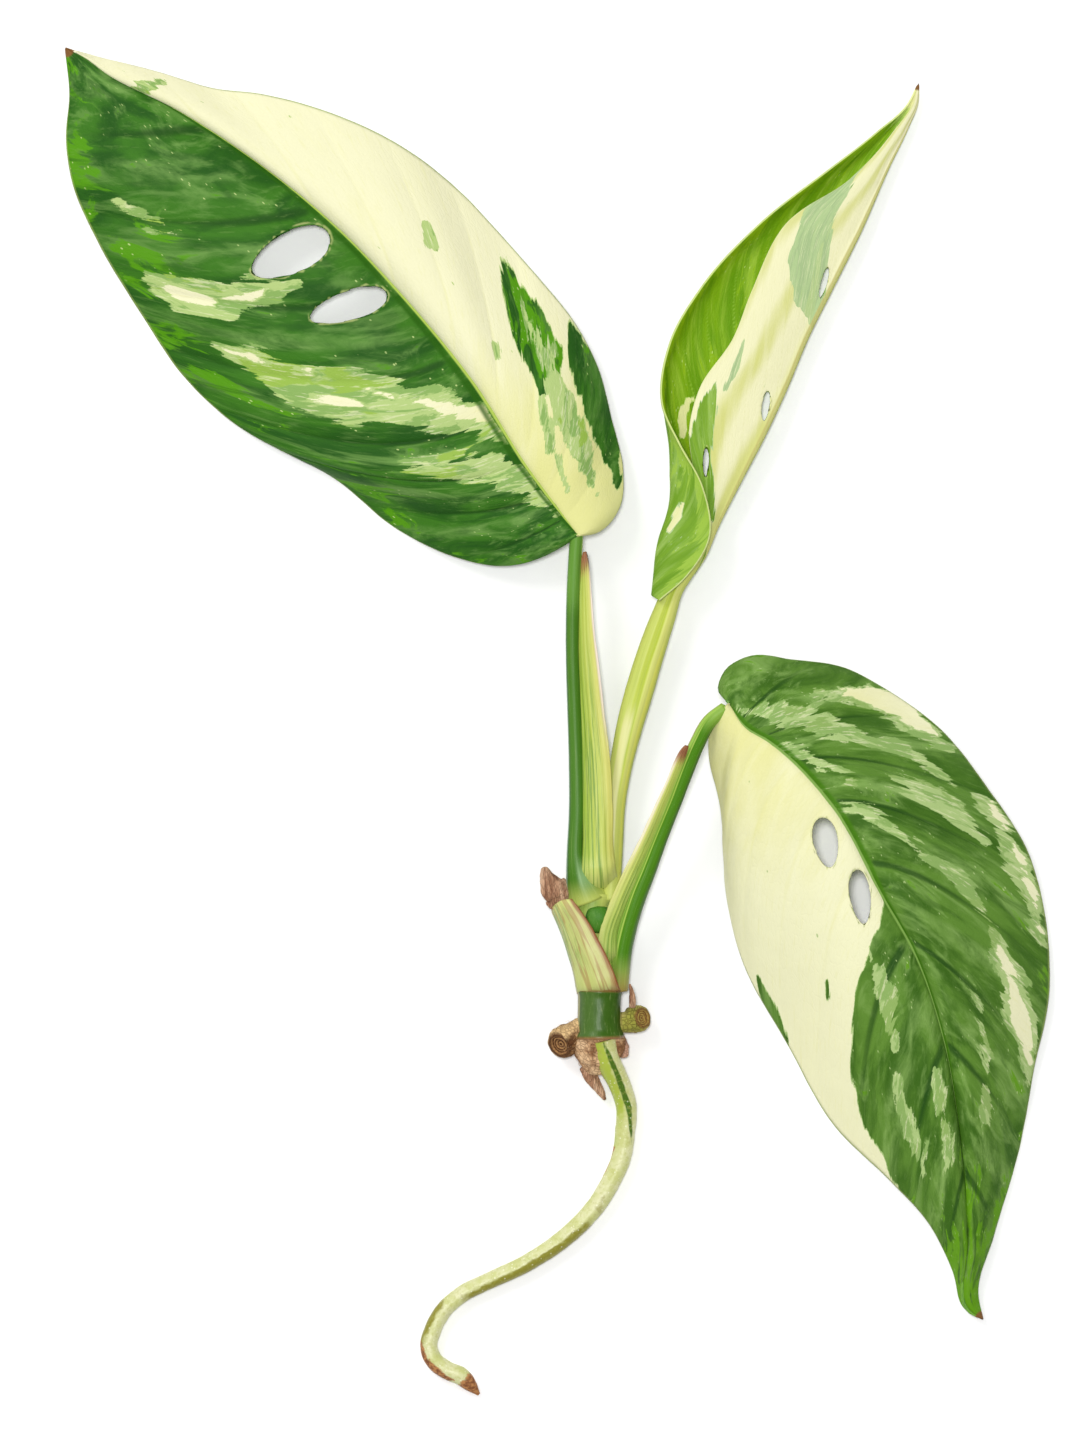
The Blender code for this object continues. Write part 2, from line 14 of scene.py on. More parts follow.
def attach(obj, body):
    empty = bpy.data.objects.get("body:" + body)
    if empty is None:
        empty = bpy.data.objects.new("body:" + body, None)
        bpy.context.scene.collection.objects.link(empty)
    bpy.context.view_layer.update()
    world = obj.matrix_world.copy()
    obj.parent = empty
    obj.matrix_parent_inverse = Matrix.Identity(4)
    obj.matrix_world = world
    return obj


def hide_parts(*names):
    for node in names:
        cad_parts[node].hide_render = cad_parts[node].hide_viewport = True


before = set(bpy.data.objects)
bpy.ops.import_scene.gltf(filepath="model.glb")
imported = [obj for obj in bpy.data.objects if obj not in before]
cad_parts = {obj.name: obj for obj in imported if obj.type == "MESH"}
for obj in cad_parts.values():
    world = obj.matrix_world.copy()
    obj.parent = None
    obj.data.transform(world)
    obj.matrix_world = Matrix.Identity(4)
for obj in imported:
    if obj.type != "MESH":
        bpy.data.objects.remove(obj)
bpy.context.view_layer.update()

MM = 0.001
SHIFT = np.array((0.0, 0.2, -0.1))  # the frame's own place for the cutting, as in its solids
BODY = "root"

# ================================================================ shapes: curves in millimetres, base to tip

LEFT_MIDRIB = [
    (4.6, 41.9, 12.6), (-6.2, 56.3, 12.4), (-18.7, 76.1, 11.0), (-33.1, 94.0, 9.4), (-51.1, 112.9, 7.6),
    (-70.8, 128.6, 6.0), (-87.0, 138.9, 4.8), (-101.3, 146.1, 3.6), (-108.6, 151.3, 2.6),
    (-111.6, 152.5, 2.0),
]
LEFT_GREEN_MARGIN = [
    (4.6, 41.9, 12.6), (-3.5, 37.5, 9.5), (-11.6, 35.5, 7.0), (-22.3, 37.0, 4.4), (-35.5, 43.0, 1.0),
    (-51.1, 55.4, 1.6), (-63.6, 61.7, 3.6), (-74.4, 68.4, 1.6), (-85.2, 78.8, 0.5), (-94.1, 92.2, 0.9),
    (-104.0, 108.4, 2.6), (-109.9, 121.8, 3.6), (-111.4, 132.0, 4.0), (-110.6, 142.0, 3.2),
    (-111.6, 152.5, 2.0),
]
LEFT_CREAM_MARGIN = [
    (4.6, 41.9, 12.6), (9.6, 43.2, 10.6), (13.9, 48.6, 8.0), (14.5, 56.3, 5.4), (11.8, 68.9, 3.6),
    (9.1, 79.7, 3.4), (3.7, 90.4, 3.8), (-4.4, 100.3, 3.2), (-13.3, 110.6, 1.0), (-24.0, 121.8, 0.6),
    (-34.9, 129.9, 2.8), (-50.0, 137.2, 3.6), (-67.2, 142.1, 2.0), (-78.9, 143.6, 1.0), (-90.5, 147.0, 1.8),
    (-101.0, 149.6, 2.4), (-111.6, 152.5, 2.0),
]
LEFT_DOME = 4.0

RIGHT_MIDRIB = [
    (38.6, 4.0, 20.0), (41.8, -1.0, 21.2), (47.6, -4.6, 22.0), (61.7, -18.9, 22.6), (72.4, -38.1, 21.0),
    (80.9, -53.3, 18.4), (87.1, -71.8, 14.6), (91.0, -93.8, 9.8), (93.0, -116.4, 4.8), (93.9, -134.5, 2.0),
    (96.4, -135.6, 1.6),
]
RIGHT_GREEN_MARGIN = [
    (38.6, 4.0, 20.0), (36.2, 7.1, 16.4), (38.0, 11.6, 14.4), (44.0, 14.6, 13.0), (52.7, 13.6, 11.4),
    (63.9, 12.2, 9.0), (76.0, 6.0, 6.2), (86.5, -1.7, 4.4), (97.8, -16.0, 3.0), (106.3, -29.6, 2.2),
    (110.8, -46.5, 1.2), (111.4, -61.6, 2.2), (108.0, -78.5, 1.8), (105.2, -94.9, 0.6), (98.9, -116.4, 1.6),
    (95.4, -130.0, 2.0), (96.4, -135.6, 1.6),
]
RIGHT_CREAM_MARGIN = [
    (38.6, 4.0, 20.0), (35.3, 0.8, 17.6), (34.4, -7.0, 13.4), (36.6, -18.0, 9.4), (38.3, -38.1, 5.2),
    (43.6, -57.7, 3.0), (52.7, -74.0, 0.9), (63.9, -92.6, 0.5), (75.3, -103.9, 1.6), (84.0, -113.6, 2.6),
    (89.4, -124.3, 1.8), (92.6, -133.6, 1.6), (96.4, -135.6, 1.6),
]
RIGHT_DOME = 5.0

# The middle blade is half unrolled. Each station lists, from the edge that wraps over the front, round the
# left side and along the table to the midrib, and then over the top to the other edge.
MIDDLE_STATIONS = [
    ((23.0, 27.2, 10.6), (21.4, 28.4, 8.0), (24.6, 30.4, 3.2), (31.0, 33.4, 5.2), (31.4, 34.4, 6.4)),
    ((29.0, 32.4, 11.0), (21.8, 32.4, 6.6), (26.8, 34.6, 2.0), (33.4, 37.4, 5.6), (31.4, 38.4, 7.0)),
    ((34.4, 41.6, 11.2), (22.4, 38.0, 6.2), (28.4, 40.8, 1.1), (35.9, 43.6, 5.8), (31.0, 45.4, 7.4)),
    ((32.8, 53.0, 11.0), (25.4, 49.6, 6.0), (32.0, 51.0, 0.8), (40.8, 53.6, 6.0), (30.8, 55.4, 7.6)),
    ((27.6, 62.6, 9.4), (25.4, 60.6, 5.8), (36.0, 63.0, 0.6), (46.2, 64.0, 6.0), (29.8, 66.2, 7.8)),
    ((23.6, 71.6, 7.2), (24.4, 72.4, 4.6), (38.0, 75.6, 0.6), (51.4, 75.2, 5.6), (32.2, 75.4, 8.4)),
    ((25.4, 85.6, 6.0), (27.8, 86.4, 3.2), (43.0, 88.0, 0.5), (56.6, 87.6, 5.2), (39.6, 86.4, 8.8)),
    ((32.4, 98.0, 5.4), (35.2, 98.4, 2.8), (48.0, 100.0, 0.5), (61.6, 97.6, 4.8), (43.8, 97.0, 8.6)),
    ((45.4, 112.2, 4.6), (48.2, 112.2, 2.4), (57.0, 113.6, 0.5), (68.2, 110.8, 4.2), (51.4, 112.2, 7.4)),
    ((61.6, 125.0, 3.8), (63.6, 125.0, 2.2), (68.4, 127.2, 0.6), (75.2, 126.4, 3.4), (66.8, 123.2, 5.4)),
    ((72.6, 133.6, 2.9), (73.8, 133.6, 2.0), (76.2, 134.8, 1.2), (79.4, 134.8, 2.6), (76.4, 133.8, 3.6)),
    ((79.3, 139.6, 2.2), (79.6, 139.8, 1.8), (80.4, 140.0, 1.5), (81.6, 140.0, 2.0), (80.6, 139.8, 2.5)),
    ((81.9, 144.6, 1.9), (81.9, 144.6, 1.9), (81.9, 144.6, 1.9), (81.9, 144.6, 1.9), (81.9, 144.6, 1.9)),
]

# Each hole: middle x and y, length, width, and the direction of its blunt end in degrees.
LEFT_HOLES = [(-60.4, 105.8, 19.5, 9.5, 27.0), (-47.3, 93.8, 18.4, 6.8, 18.0)]
RIGHT_HOLES = [(60.3, -27.4, 11.4, 5.6, 100.0), (68.1, -39.6, 12.4, 4.8, 98.0)]
MIDDLE_HOLES = [(60.3, 99.2, 7.5, 1.6, 75.0), (47.1, 71.3, 7.0, 2.0, 82.0), (33.6, 58.6, 7.0, 1.5, 88.0)]

# Stalks, stem and roots: each station is x, y, z, width and height.
LEFT_PETIOLE = [
    (6.4, -39.7, 7.2, 10.4, 7.0), (5.3, -36.6, 7.8, 7.0, 5.8), (4.3, -31.0, 8.2, 4.6, 4.4),
    (4.5, -20.0, 8.4, 3.9, 3.8), (4.3, -9.0, 8.6, 3.6, 3.6), (3.8, 4.0, 9.0, 3.3, 3.4),
    (3.4, 18.0, 9.8, 3.2, 3.2), (3.6, 30.0, 10.8, 3.1, 3.0), (4.2, 40.6, 11.9, 3.0, 2.8),
]
MIDDLE_PETIOLE = [
    (12.0, -39.6, 6.4, 4.6, 4.6), (12.6, -29.0, 6.2, 4.4, 4.4), (13.2, -18.0, 6.0, 4.6, 4.4),
    (14.6, -8.9, 6.0, 5.2, 4.6), (16.4, -0.9, 6.0, 6.0, 4.8), (18.6, 7.0, 6.1, 6.4, 4.8),
    (21.0, 15.0, 6.3, 6.2, 4.6), (23.7, 22.9, 6.5, 5.6, 4.4), (26.4, 30.0, 6.7, 4.4, 3.6),
]
RIGHT_PETIOLE = [
    (13.8, -60.6, 6.2, 4.4, 5.0), (14.7, -50.6, 7.8, 4.8, 4.8), (17.0, -42.0, 9.2, 4.6, 4.6),
    (20.2, -33.8, 10.6, 4.2, 4.2), (23.2, -25.9, 12.0, 3.8, 3.8), (26.4, -17.9, 13.9, 3.6, 3.6),
    (29.4, -10.0, 16.0, 3.6, 3.4), (31.8, -4.4, 17.8, 3.5, 3.3), (34.0, -0.4, 19.0, 3.3, 3.2),
    (37.0, 2.2, 19.5, 2.8, 2.8),
]
STEM_UPPER = [
    (8.0, -40.4, 6.0, 9.0, 7.2), (7.6, -46.0, 5.8, 8.0, 7.4),
    (8.6, -53.0, 5.9, 8.0, 7.6), (9.4, -60.2, 6.2, 9.4, 8.4),
]
STEM_LOWER = [(9.5, -61.3, 6.8, 9.8, 9.0), (9.4, -65.0, 6.8, 9.6, 9.0), (9.5, -71.6, 6.8, 10.2, 9.4)]
NODE_CORK = [
    (9.4, -71.9, 5.8, 12.2, 8.8), (9.2, -74.6, 5.4, 11.4, 8.0),
    (9.2, -77.8, 5.0, 7.4, 6.0), (9.6, -80.2, 4.6, 3.0, 2.6),
]
AERIAL_ROOT = [
    (10.2, -71.9, 7.6, 6.8, 6.0), (11.2, -76.3, 6.6, 6.0, 5.4), (13.9, -82.0, 4.4, 5.2, 4.8),
    (15.6, -87.6, 2.9, 4.8, 4.6), (15.3, -93.3, 2.4, 4.6, 4.5), (14.5, -98.9, 2.3, 4.5, 4.4),
    (12.0, -104.6, 2.3, 4.4, 4.3), (8.9, -109.7, 2.2, 4.3, 4.2), (3.8, -115.3, 2.2, 4.2, 4.1),
    (-1.9, -119.8, 2.1, 4.0, 4.0), (-8.6, -123.8, 2.1, 3.8, 3.9), (-16.0, -127.2, 2.0, 3.7, 3.8),
    (-21.6, -130.0, 2.0, 3.7, 3.8), (-25.6, -133.4, 2.0, 3.8, 3.8), (-28.2, -137.9, 2.0, 3.9, 3.8),
    (-29.2, -141.8, 2.0, 4.0, 3.8), (-27.9, -145.2, 2.0, 4.2, 3.9), (-25.2, -147.2, 2.0, 4.3, 3.9),
    (-22.0, -148.6, 2.0, 4.2, 3.9), (-19.8, -150.6, 1.7, 3.2, 3.0), (-17.9, -152.8, 1.0, 0.8, 0.8),
]
ROOT_STUB_LEFT = [
    (6.0, -69.8, 5.8, 5.4, 5.6), (3.8, -71.0, 5.6, 6.0, 6.2),
    (1.4, -72.7, 5.4, 7.2, 7.2), (0.3, -73.5, 5.4, 6.4, 6.6),
]
ROOT_STUB_RIGHT = [
    (13.6, -68.4, 5.6, 4.4, 4.6), (15.6, -68.2, 5.4, 4.8, 5.0),
    (18.0, -67.5, 5.2, 6.2, 6.2), (19.4, -67.2, 5.2, 5.0, 5.2),
]
ROOT_STUB_SMALL = [(14.2, -72.6, 4.6, 2.4, 2.6), (14.8, -74.4, 4.4, 2.8, 2.8), (15.1, -76.4, 4.2, 1.6, 1.8)]
DRY_SPIKE = [(16.9, -65.0, 8.0, 1.6, 1.4), (16.9, -62.4, 8.6, 1.4, 1.2), (16.3, -59.4, 9.0, 0.5, 0.5)]
DRY_SCALE = [
    (6.0, -78.0, 3.8, 2.6, 1.8), (7.4, -80.4, 3.4, 3.0, 1.6),
    (9.2, -83.2, 2.9, 2.2, 1.3), (10.8, -86.0, 2.4, 0.6, 0.6),
]
AXILLARY_BUD = [
    (9.6, -48.0, 9.6, 1.6, 1.2), (9.4, -46.4, 10.0, 4.0, 2.4),
    (9.2, -44.0, 10.2, 4.8, 3.0), (9.0, -41.9, 10.0, 3.0, 2.0),
]
OLD_SHEATH_TIP = [
    (0.4, -39.4, 7.6, 6.2, 4.4), (-1.4, -37.4, 7.8, 6.0, 4.2),
    (-2.4, -35.4, 8.0, 4.2, 3.2), (-3.2, -33.0, 8.2, 1.6, 1.4),
]

# Sheaths: the points across, at each station from the base up.
LEFT_SHEATH = [
    ((6.3, -37.6, 11.6), (8.4, -38.2, 12.0), (11.2, -37.8, 11.4), (13.6, -36.6, 10.0)),
    ((6.8, -29.0, 10.8), (8.6, -29.0, 11.6), (10.8, -29.0, 11.4), (12.6, -29.0, 10.4)),
    ((6.8, -18.0, 10.4), (8.6, -18.0, 11.2), (10.4, -18.0, 11.2), (12.4, -18.0, 10.6)),
    ((6.6, -8.0, 10.2), (8.2, -8.0, 11.0), (10.0, -8.0, 11.1), (11.8, -8.0, 10.6)),
    ((6.2, 2.0, 10.0), (7.6, 2.0, 10.8), (9.0, 2.0, 11.0), (10.6, 2.0, 10.6)),
    ((5.7, 12.0, 10.2), (6.8, 12.0, 10.9), (7.9, 12.0, 11.2), (9.4, 12.0, 11.0)),
    ((5.5, 22.0, 10.9), (6.3, 22.0, 11.4), (7.1, 22.0, 11.7), (8.2, 22.0, 11.6)),
    ((5.7, 31.0, 11.6), (6.2, 31.0, 12.0), (6.8, 31.0, 12.2), (7.6, 31.0, 12.1)),
    ((6.3, 38.2, 12.4), (6.7, 38.4, 12.6), (7.0, 38.6, 12.7), (7.5, 38.8, 12.6)),
]
RIGHT_SHEATH = [
    ((12.6, -47.6, 10.9), (11.4, -47.8, 11.4), (10.4, -48.0, 11.6), (9.4, -48.2, 11.5)),
    ((14.4, -42.0, 11.6), (13.4, -42.0, 12.2), (12.4, -42.0, 12.3), (11.5, -42.0, 12.1)),
    ((17.6, -34.6, 12.4), (16.5, -34.8, 13.0), (15.4, -35.0, 13.2), (14.3, -35.2, 13.1)),
    ((20.7, -27.0, 13.6), (19.9, -27.4, 14.2), (19.0, -27.6, 14.4), (18.0, -27.8, 14.3)),
    ((24.0, -18.6, 15.4), (23.4, -18.9, 15.9), (22.7, -19.1, 16.1), (21.9, -19.3, 16.0)),
    ((26.9, -11.2, 17.4), (26.4, -11.4, 17.8), (25.9, -11.6, 18.0), (25.2, -11.9, 17.9)),
    ((29.0, -5.6, 19.4), (28.6, -5.4, 19.6), (28.2, -5.2, 19.7), (27.8, -5.0, 19.6)),
]
RIGHT_SHEATH_FOOT = ((12.6, -55.0, 10.0), (11.2, -55.2, 10.8), (9.8, -55.4, 11.1), (8.6, -55.6, 11.0))
OLD_SHEATH = [
    ((-1.2, -43.2, 4.6), (-0.6, -41.6, 9.2), (1.4, -40.4, 11.4), (3.2, -40.2, 11.6)),
    ((1.0, -48.4, 3.4), (1.6, -47.0, 9.4), (4.6, -45.8, 12.2), (6.8, -45.2, 12.2)),
    ((2.6, -53.2, 2.8), (3.2, -52.4, 9.2), (6.8, -51.6, 12.4), (9.9, -50.8, 12.4)),
    ((3.9, -57.4, 2.6), (4.4, -57.2, 9.0), (8.2, -56.6, 12.4), (12.2, -55.6, 12.4)),
    ((4.6, -60.2, 3.0), (4.8, -60.6, 9.0), (8.6, -60.2, 12.0), (13.8, -59.8, 11.4)),
]

# Colour patches on the blades, as brush strokes: each point is x, y and half width.
LEFT_CREAM = [
    [(-92, 100.5, 0.0), (-85, 97.5, 1.2), (-78, 94.8, 0.6)],
    [(-76, 95.5, 0.0), (-70, 95.8, 0.4), (-65, 98, 0.0)],
    [(-76, 84, 0.0), (-66, 82, 0.5), (-56, 79.5, 0.2)],
    [(-56, 73.5, 0.0), (-49, 72.3, 0.5), (-42, 70.8, 0.0)],
    [(-43, 74.5, 0.0), (-35, 72.8, 0.8), (-25, 70.8, 1.5), (-16, 68.2, 1.2), (-12, 65.5, 0.0)],
]
LEFT_PALE_IN_CREAM = [
    [(-0.5, 76, 1.6), (2.5, 68, 2.8), (5.5, 60, 2.2), (8.5, 52, 0.8)],
    [(-3.6, 72, 0.8), (-1.4, 62, 1.2), (2.4, 52, 0.4)],
    [(-89.0, 145.0, 0.6), (-93.4, 143.6, 1.5), (-98.0, 142.4, 0.8)],
    [(-29.6, 112.0, 0.9), (-28.4, 107.6, 1.1)],
    [(-14.4, 85.0, 0.6), (-13.6, 81.8, 0.6)],
]
LEFT_PALE = [
    [(-93, 100.5, 1.0), (-84, 97, 4.4), (-75, 95.3, 4.8), (-67, 97.5, 3.2), (-59, 99.5, 1.2)],
    [(-78, 84.5, 0.5), (-67, 80.5, 3.0), (-57, 76, 5.6), (-46, 72.5, 6.0), (-36, 71.5, 5.0), (-25, 69.8, 4.6),
     (-15, 66.8, 3.2), (-11, 63.5, 1.0)],
    [(-34, 57, 0.6), (-26, 56.8, 2.6), (-16, 57, 3.8), (-8, 54, 3.2), (-0.5, 47, 1.0)],
    [(-100, 118, 0.1), (-92, 113, 0.6), (-84, 111, 0.1)],
]
LEFT_LIGHT_GREEN = [[(-10.4, 98, 0.8), (-6.6, 90, 3.0), (-3.0, 82.5, 3.8), (-1.6, 76.5, 2.0)]]
LEFT_GREEN_IN_CREAM = [
    [(-12.6, 107, 0.2), (-10.6, 99, 2.2), (-6.8, 90, 4.2), (-3.2, 83, 4.8), (-2.4, 77.5, 2.8),
     (-3.4, 73.5, 0.4)],
    [(2.6, 91, 0.3), (5.4, 83, 2.8), (8.6, 75, 3.8), (11.0, 66, 3.2), (12.6, 58, 1.8), (13.2, 53, 0.4)],
]

RIGHT_CREAM = [
    [(63, 7.4, 0.2), (70, 6.2, 2.0), (78, 2.6, 2.2), (86, -3.5, 0.3)],
    [(98, -19, 0.4), (103, -27, 1.1), (107, -37, 0.9), (109.6, -48, 0.3)],
    [(99.5, -51, 0.3), (103, -60, 1.6), (105.6, -69, 1.7), (106.8, -78, 0.3)],
]
RIGHT_PALE = [
    [(58, 6.6, 0.6), (68, 5.8, 2.4), (78, 2, 3.2), (89, -7, 1.0)],
    [(41, 2.4, 0.5), (50, 1.4, 2.4), (60, -0.6, 3.4), (70, -4.2, 1.0)],
    [(50, -5, 0.5), (58, -8.6, 1.6), (66, -13, 0.6)],
    [(74, -4.6, 0.8), (83, -9, 1.4), (90, -15, 0.4)],
    [(76, -13, 0.8), (86, -18, 2.6), (97, -27, 1.4)],
    [(60, -16, 0.2), (72, -22, 1.6), (84, -32, 0.8)],
    [(80, -26, 0.4), (90, -35, 1.6), (98, -46, 0.4)],
    [(95, -17, 1.2), (102, -27, 3.0), (107, -38, 3.0), (110, -52, 1.2)],
    [(98.5, -47, 0.8), (103, -60, 3.4), (106, -70, 3.0), (107, -82, 0.8)],
    [(76.6, -80, 0.4), (79.6, -91, 1.9), (83.6, -103, 0.4)],
    [(84.4, -76, 0.4), (87, -87, 1.9), (89, -101, 0.3)],
    [(70, -52, 0.2), (74, -62, 2.2), (76, -74, 0.8)],
    [(94, -60, 0.2), (97, -74, 1.0), (97, -90, 0.2)],
]
RIGHT_GREEN_IN_CREAM = [
    [(74, -41, 0.5), (78, -52, 8), (78.5, -63, 11.5), (80, -77, 14), (82, -86, 13.5), (85, -97, 11),
     (89, -109, 9), (92, -122, 7), (94, -134, 5)],
    [(45.0, -57.7, 0.3), (48.6, -65, 1.3), (52.4, -73.5, 0.4)],
    [(61, -58.5, 0.1), (61.4, -62.5, 0.5)],
]
MIDDLE_PALE = [
    [(76, 134, 0.4), (66, 124, 1.6), (59, 114, 3.4), (56.6, 104, 4.4), (57.2, 96, 3.6), (57.6, 90.6, 0.8)],
    [(42.6, 87, 0.1), (40.4, 80, 0.9), (38.0, 75.0, 0.4)],
]
MIDDLE_GREEN = [
    [(36.0, 77.5, 0.1), (34.2, 71, 2.2), (33, 66, 2.6), (32.6, 60, 2.2), (33.4, 53, 2.0), (34.6, 46, 0.8)],
]
MIDDLE_FAR_CREAM = [[(29.8, 72.8, 0.8), (28.3, 69.5, 0.9), (28.2, 64.5, 0.3)]]
MIDDLE_WRAP_CREAM = [[(28.2, 49.2, 0.4), (27, 46.4, 0.9), (25.2, 43, 0.3)]]

# ================================================================ sizes that the shapes share

BLADE_THICKNESS = 0.42
BLADE_CELL = 0.75  # mesh cell size on a blade
BLADE_COLUMNS = 56  # cells from the midrib to a margin
BLADE_RELIEF = 1.5  # height of the pillows between the side veins
RIB_GROOVE = 0.45  # depth and width of the groove over the midrib
RIB_GROOVE_WIDTH = 0.9
VEIN_BEND = 0.14  # how far the side veins bend back, as a share of their length
CREAM_RELIEF = 0.35  # the cream half is flatter by this share
WAVE = 0.5  # slow waves of a blade, and their wavelength
WAVE_LENGTH = 26.0
CRUMPLE = 0.10  # fine crumple of a blade, and its wavelength
CRUMPLE_LENGTH = 4.5
EGG = 0.18  # how much blunter one end of a hole is

ROLLED_ROWS = 190
ROLLED_LOWER = 64  # columns from the free edge round to the midrib
ROLLED_UPPER = 40  # columns from the midrib to the other edge
ROLLED_RELIEF = 0.35
ROLLED_WIDTH = 20.0
ROLLED_WAVE = 0.25
ROLLED_WAVE_LENGTH = 18.0
ROLLED_SWEEP = 0.42  # how steeply the side veins of the rolled blade run towards its tip

DISH_ROWS = 14  # rings of cells over a worn end face
DISH_RIM = 0.86  # size of a worn end face beside its stub
TAPER_FROM = 0.86  # where a sheath starts to narrow towards its tip
TUCK_DROP = 0.9  # how far a tucked edge goes down beside its stalk
CLASP_DROP = 1.6
SHEATH_RIDGES = 5
RIDGE_HEIGHT = 0.07
STREAK_HEIGHT = 0.10  # streaks of a sheath, and their wavelength across
STREAK_LENGTH = 1.6

# ================================================================ numbers on curves and surfaces


def smooth_line(points, samples):
    """Points on a smooth curve through the given points, at parameters from 0 to 1 of its chord length."""
    pts = np.array(points, float)
    steps = np.maximum(np.linalg.norm(np.diff(pts[:, :3], axis=0), axis=1), 1e-6)
    knots = np.concatenate([[0.0], np.cumsum(steps)])
    knots /= knots[-1]
    slopes = np.gradient(pts, knots, axis=0)
    s = clamp(np.asarray(samples, float))
    i = np.clip(np.searchsorted(knots, s, side="right") - 1, 0, len(pts) - 2)
    h = (knots[i + 1] - knots[i])[:, None]
    t = ((s - knots[i]) / h[:, 0])[:, None]
    low = (2 * t**3 - 3 * t**2 + 1) * pts[i] + (t**3 - 2 * t**2 + t) * h * slopes[i]
    high = (3 * t**2 - 2 * t**3) * pts[i + 1] + (t**3 - t**2) * h * slopes[i + 1]
    return low + high


def length_of(points):
    return np.linalg.norm(np.diff(np.array(points)[:, :3], axis=0), axis=1).sum()


def unit(vectors):
    return vectors / np.maximum(np.linalg.norm(vectors, axis=-1, keepdims=True), 1e-9)


def clamp(values):
    return np.clip(values, 0.0, 1.0)


def hump(away, width=1.0):
    """A soft peak: 1 where away is 0, and falling off over the width."""
    return np.exp(-((away / width) ** 2))


def wobble(points, size, seed=0.0):
    """Smooth noise from -1 to 1 at each point; size is its wavelength in millimetres."""
    flat = np.asarray(points, float).reshape(-1, 3) / size + seed * 7.3
    values = [noise.noise(Vector(p)) for p in flat]
    return np.array(values).reshape(np.asarray(points).shape[:-1])


def stroke_field(xy, strokes, soft):
    """How far inside the strokes each point is: 1 well inside, 0.5 on the edge, 0 outside."""
    best = np.full(len(xy), -1e3)
    for stroke in strokes:
        path = np.array(stroke, float)
        for a, b in zip(path[:-1], path[1:]):
            run = b[:2] - a[:2]
            t = clamp(((xy - a[:2]) @ run) / max(run @ run, 1e-6))
            away = np.linalg.norm(xy - (a[:2] + t[:, None] * run), axis=1)
            best = np.maximum(best, a[2] + t * (b[2] - a[2]) - away)
    return clamp(0.5 + best / (2 * soft))


# ================================================================ meshes


def new_object(name, data):
    obj = bpy.data.objects.new(name, data)
    bpy.context.scene.collection.objects.link(obj)
    return obj


def new_mesh(name, points, edges, faces):
    """A mesh of points that are given in millimetres."""
    mesh = bpy.data.meshes.new(name)
    mesh.from_pydata([tuple(p) for p in (np.asarray(points) + SHIFT) * MM], edges, faces)
    return mesh


def surface_object(name, points, faces):
    mesh = new_mesh(name, points, [], faces)
    mesh.shade_smooth()
    return new_object(name, mesh)


def apply_modifiers(obj):
    """Turns the object into the mesh that its modifiers make, and removes them."""
    bpy.context.view_layer.update()
    made = bpy.data.meshes.new_from_object(obj.evaluated_get(bpy.context.evaluated_depsgraph_get()))
    obj.modifiers.clear()
    old = obj.data
    obj.data = made
    bpy.data.meshes.remove(old)
    made.name = obj.name
    return obj


def give_values(mesh, name, values):
    """A number at every vertex, for the materials to read."""
    layer = mesh.attributes.new(name, "FLOAT", "POINT")
    layer.data.foreach_set("value", np.asarray(values, np.float32).ravel())


def give_map(mesh, corner_uv):
    """The piece's own map, one place for each corner of each face."""
    layer = mesh.uv_layers.new(name="Along")
    layer.data.foreach_set("uv", np.asarray(corner_uv, np.float32).ravel())


def give_grid_map(mesh, across, along):
    uv = np.stack(np.broadcast_arrays(across, along), axis=-1).reshape(-1, 2)
    corners = np.zeros(len(mesh.loops), int)
    mesh.loops.foreach_get("vertex_index", corners)
    give_map(mesh, uv[corners])


def grid_faces(rows, columns, keep=None):
    faces = []
    for r in range(rows - 1):
        for c in range(columns - 1):
            if keep is None or keep[r, c]:
                a = r * columns + c
                faces.append((a, a + 1, a + columns + 1, a + columns))
    return faces


def thicken(obj, thickness, back_material=0):
    """Gives a sheet its thickness; back_material is how many materials further its back is."""
    shell = obj.modifiers.new("Thickness", "SOLIDIFY")
    shell.thickness = thickness * MM
    shell.offset = 0.0
    shell.material_offset = back_material
    shell.material_offset_rim = 0


def finish_piece(obj, node, slot, *materials):
    """Gives a piece its materials and its plain mesh, and ties it to the frame."""
    for material in materials:
        obj.data.materials.append(material)
    if obj.modifiers:
        apply_modifiers(obj)
    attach(obj, BODY)
    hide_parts(node)


# ================================================================ blades


def vein_start(s):
    """Where along the midrib the side vein numbered s (0 to 1) leaves it: crowded near the base."""
    return 0.25 * s + 0.75 * s**2.6


def vein_end(s):
    """Where along the margin that vein would end: swept ahead towards the tip."""
    return s + 0.5 * s * (1 - s) ** 2


def half_blade(midrib, margin, dome, rows):
    """Points from a midrib out to a margin along the side veins, arched upwards between the two."""
    s = np.linspace(0.0, 1.0, rows)
    start = vein_start(s)
    inner = smooth_line(midrib, start)[:, None, :]
    outer = smooth_line(margin, vein_end(s))[:, None, :]
    ahead = unit(smooth_line(midrib, start + 0.01) - smooth_line(midrib, start - 0.01))
    v = np.linspace(0.0, 1.0, BLADE_COLUMNS + 1)[None, :, None]
    reach = np.linalg.norm(outer - inner, axis=2)
    bend = (ahead * reach * -VEIN_BEND * np.sin(math.pi * s)[:, None])[:, None, :]
    grid = inner * (1 - v) + outer * v + bend * 4 * v * (1 - v)
    arch = dome * 4 * v[..., 0] ** 0.85 * (1 - v[..., 0])
    grid[..., 2] += arch * (np.sin(math.pi * np.minimum(0.98, s + 0.02)) ** 0.6)[:, None]
    return grid


def surface_normals(grid):
    return unit(np.cross(np.gradient(grid, axis=1), np.gradient(grid, axis=0)))


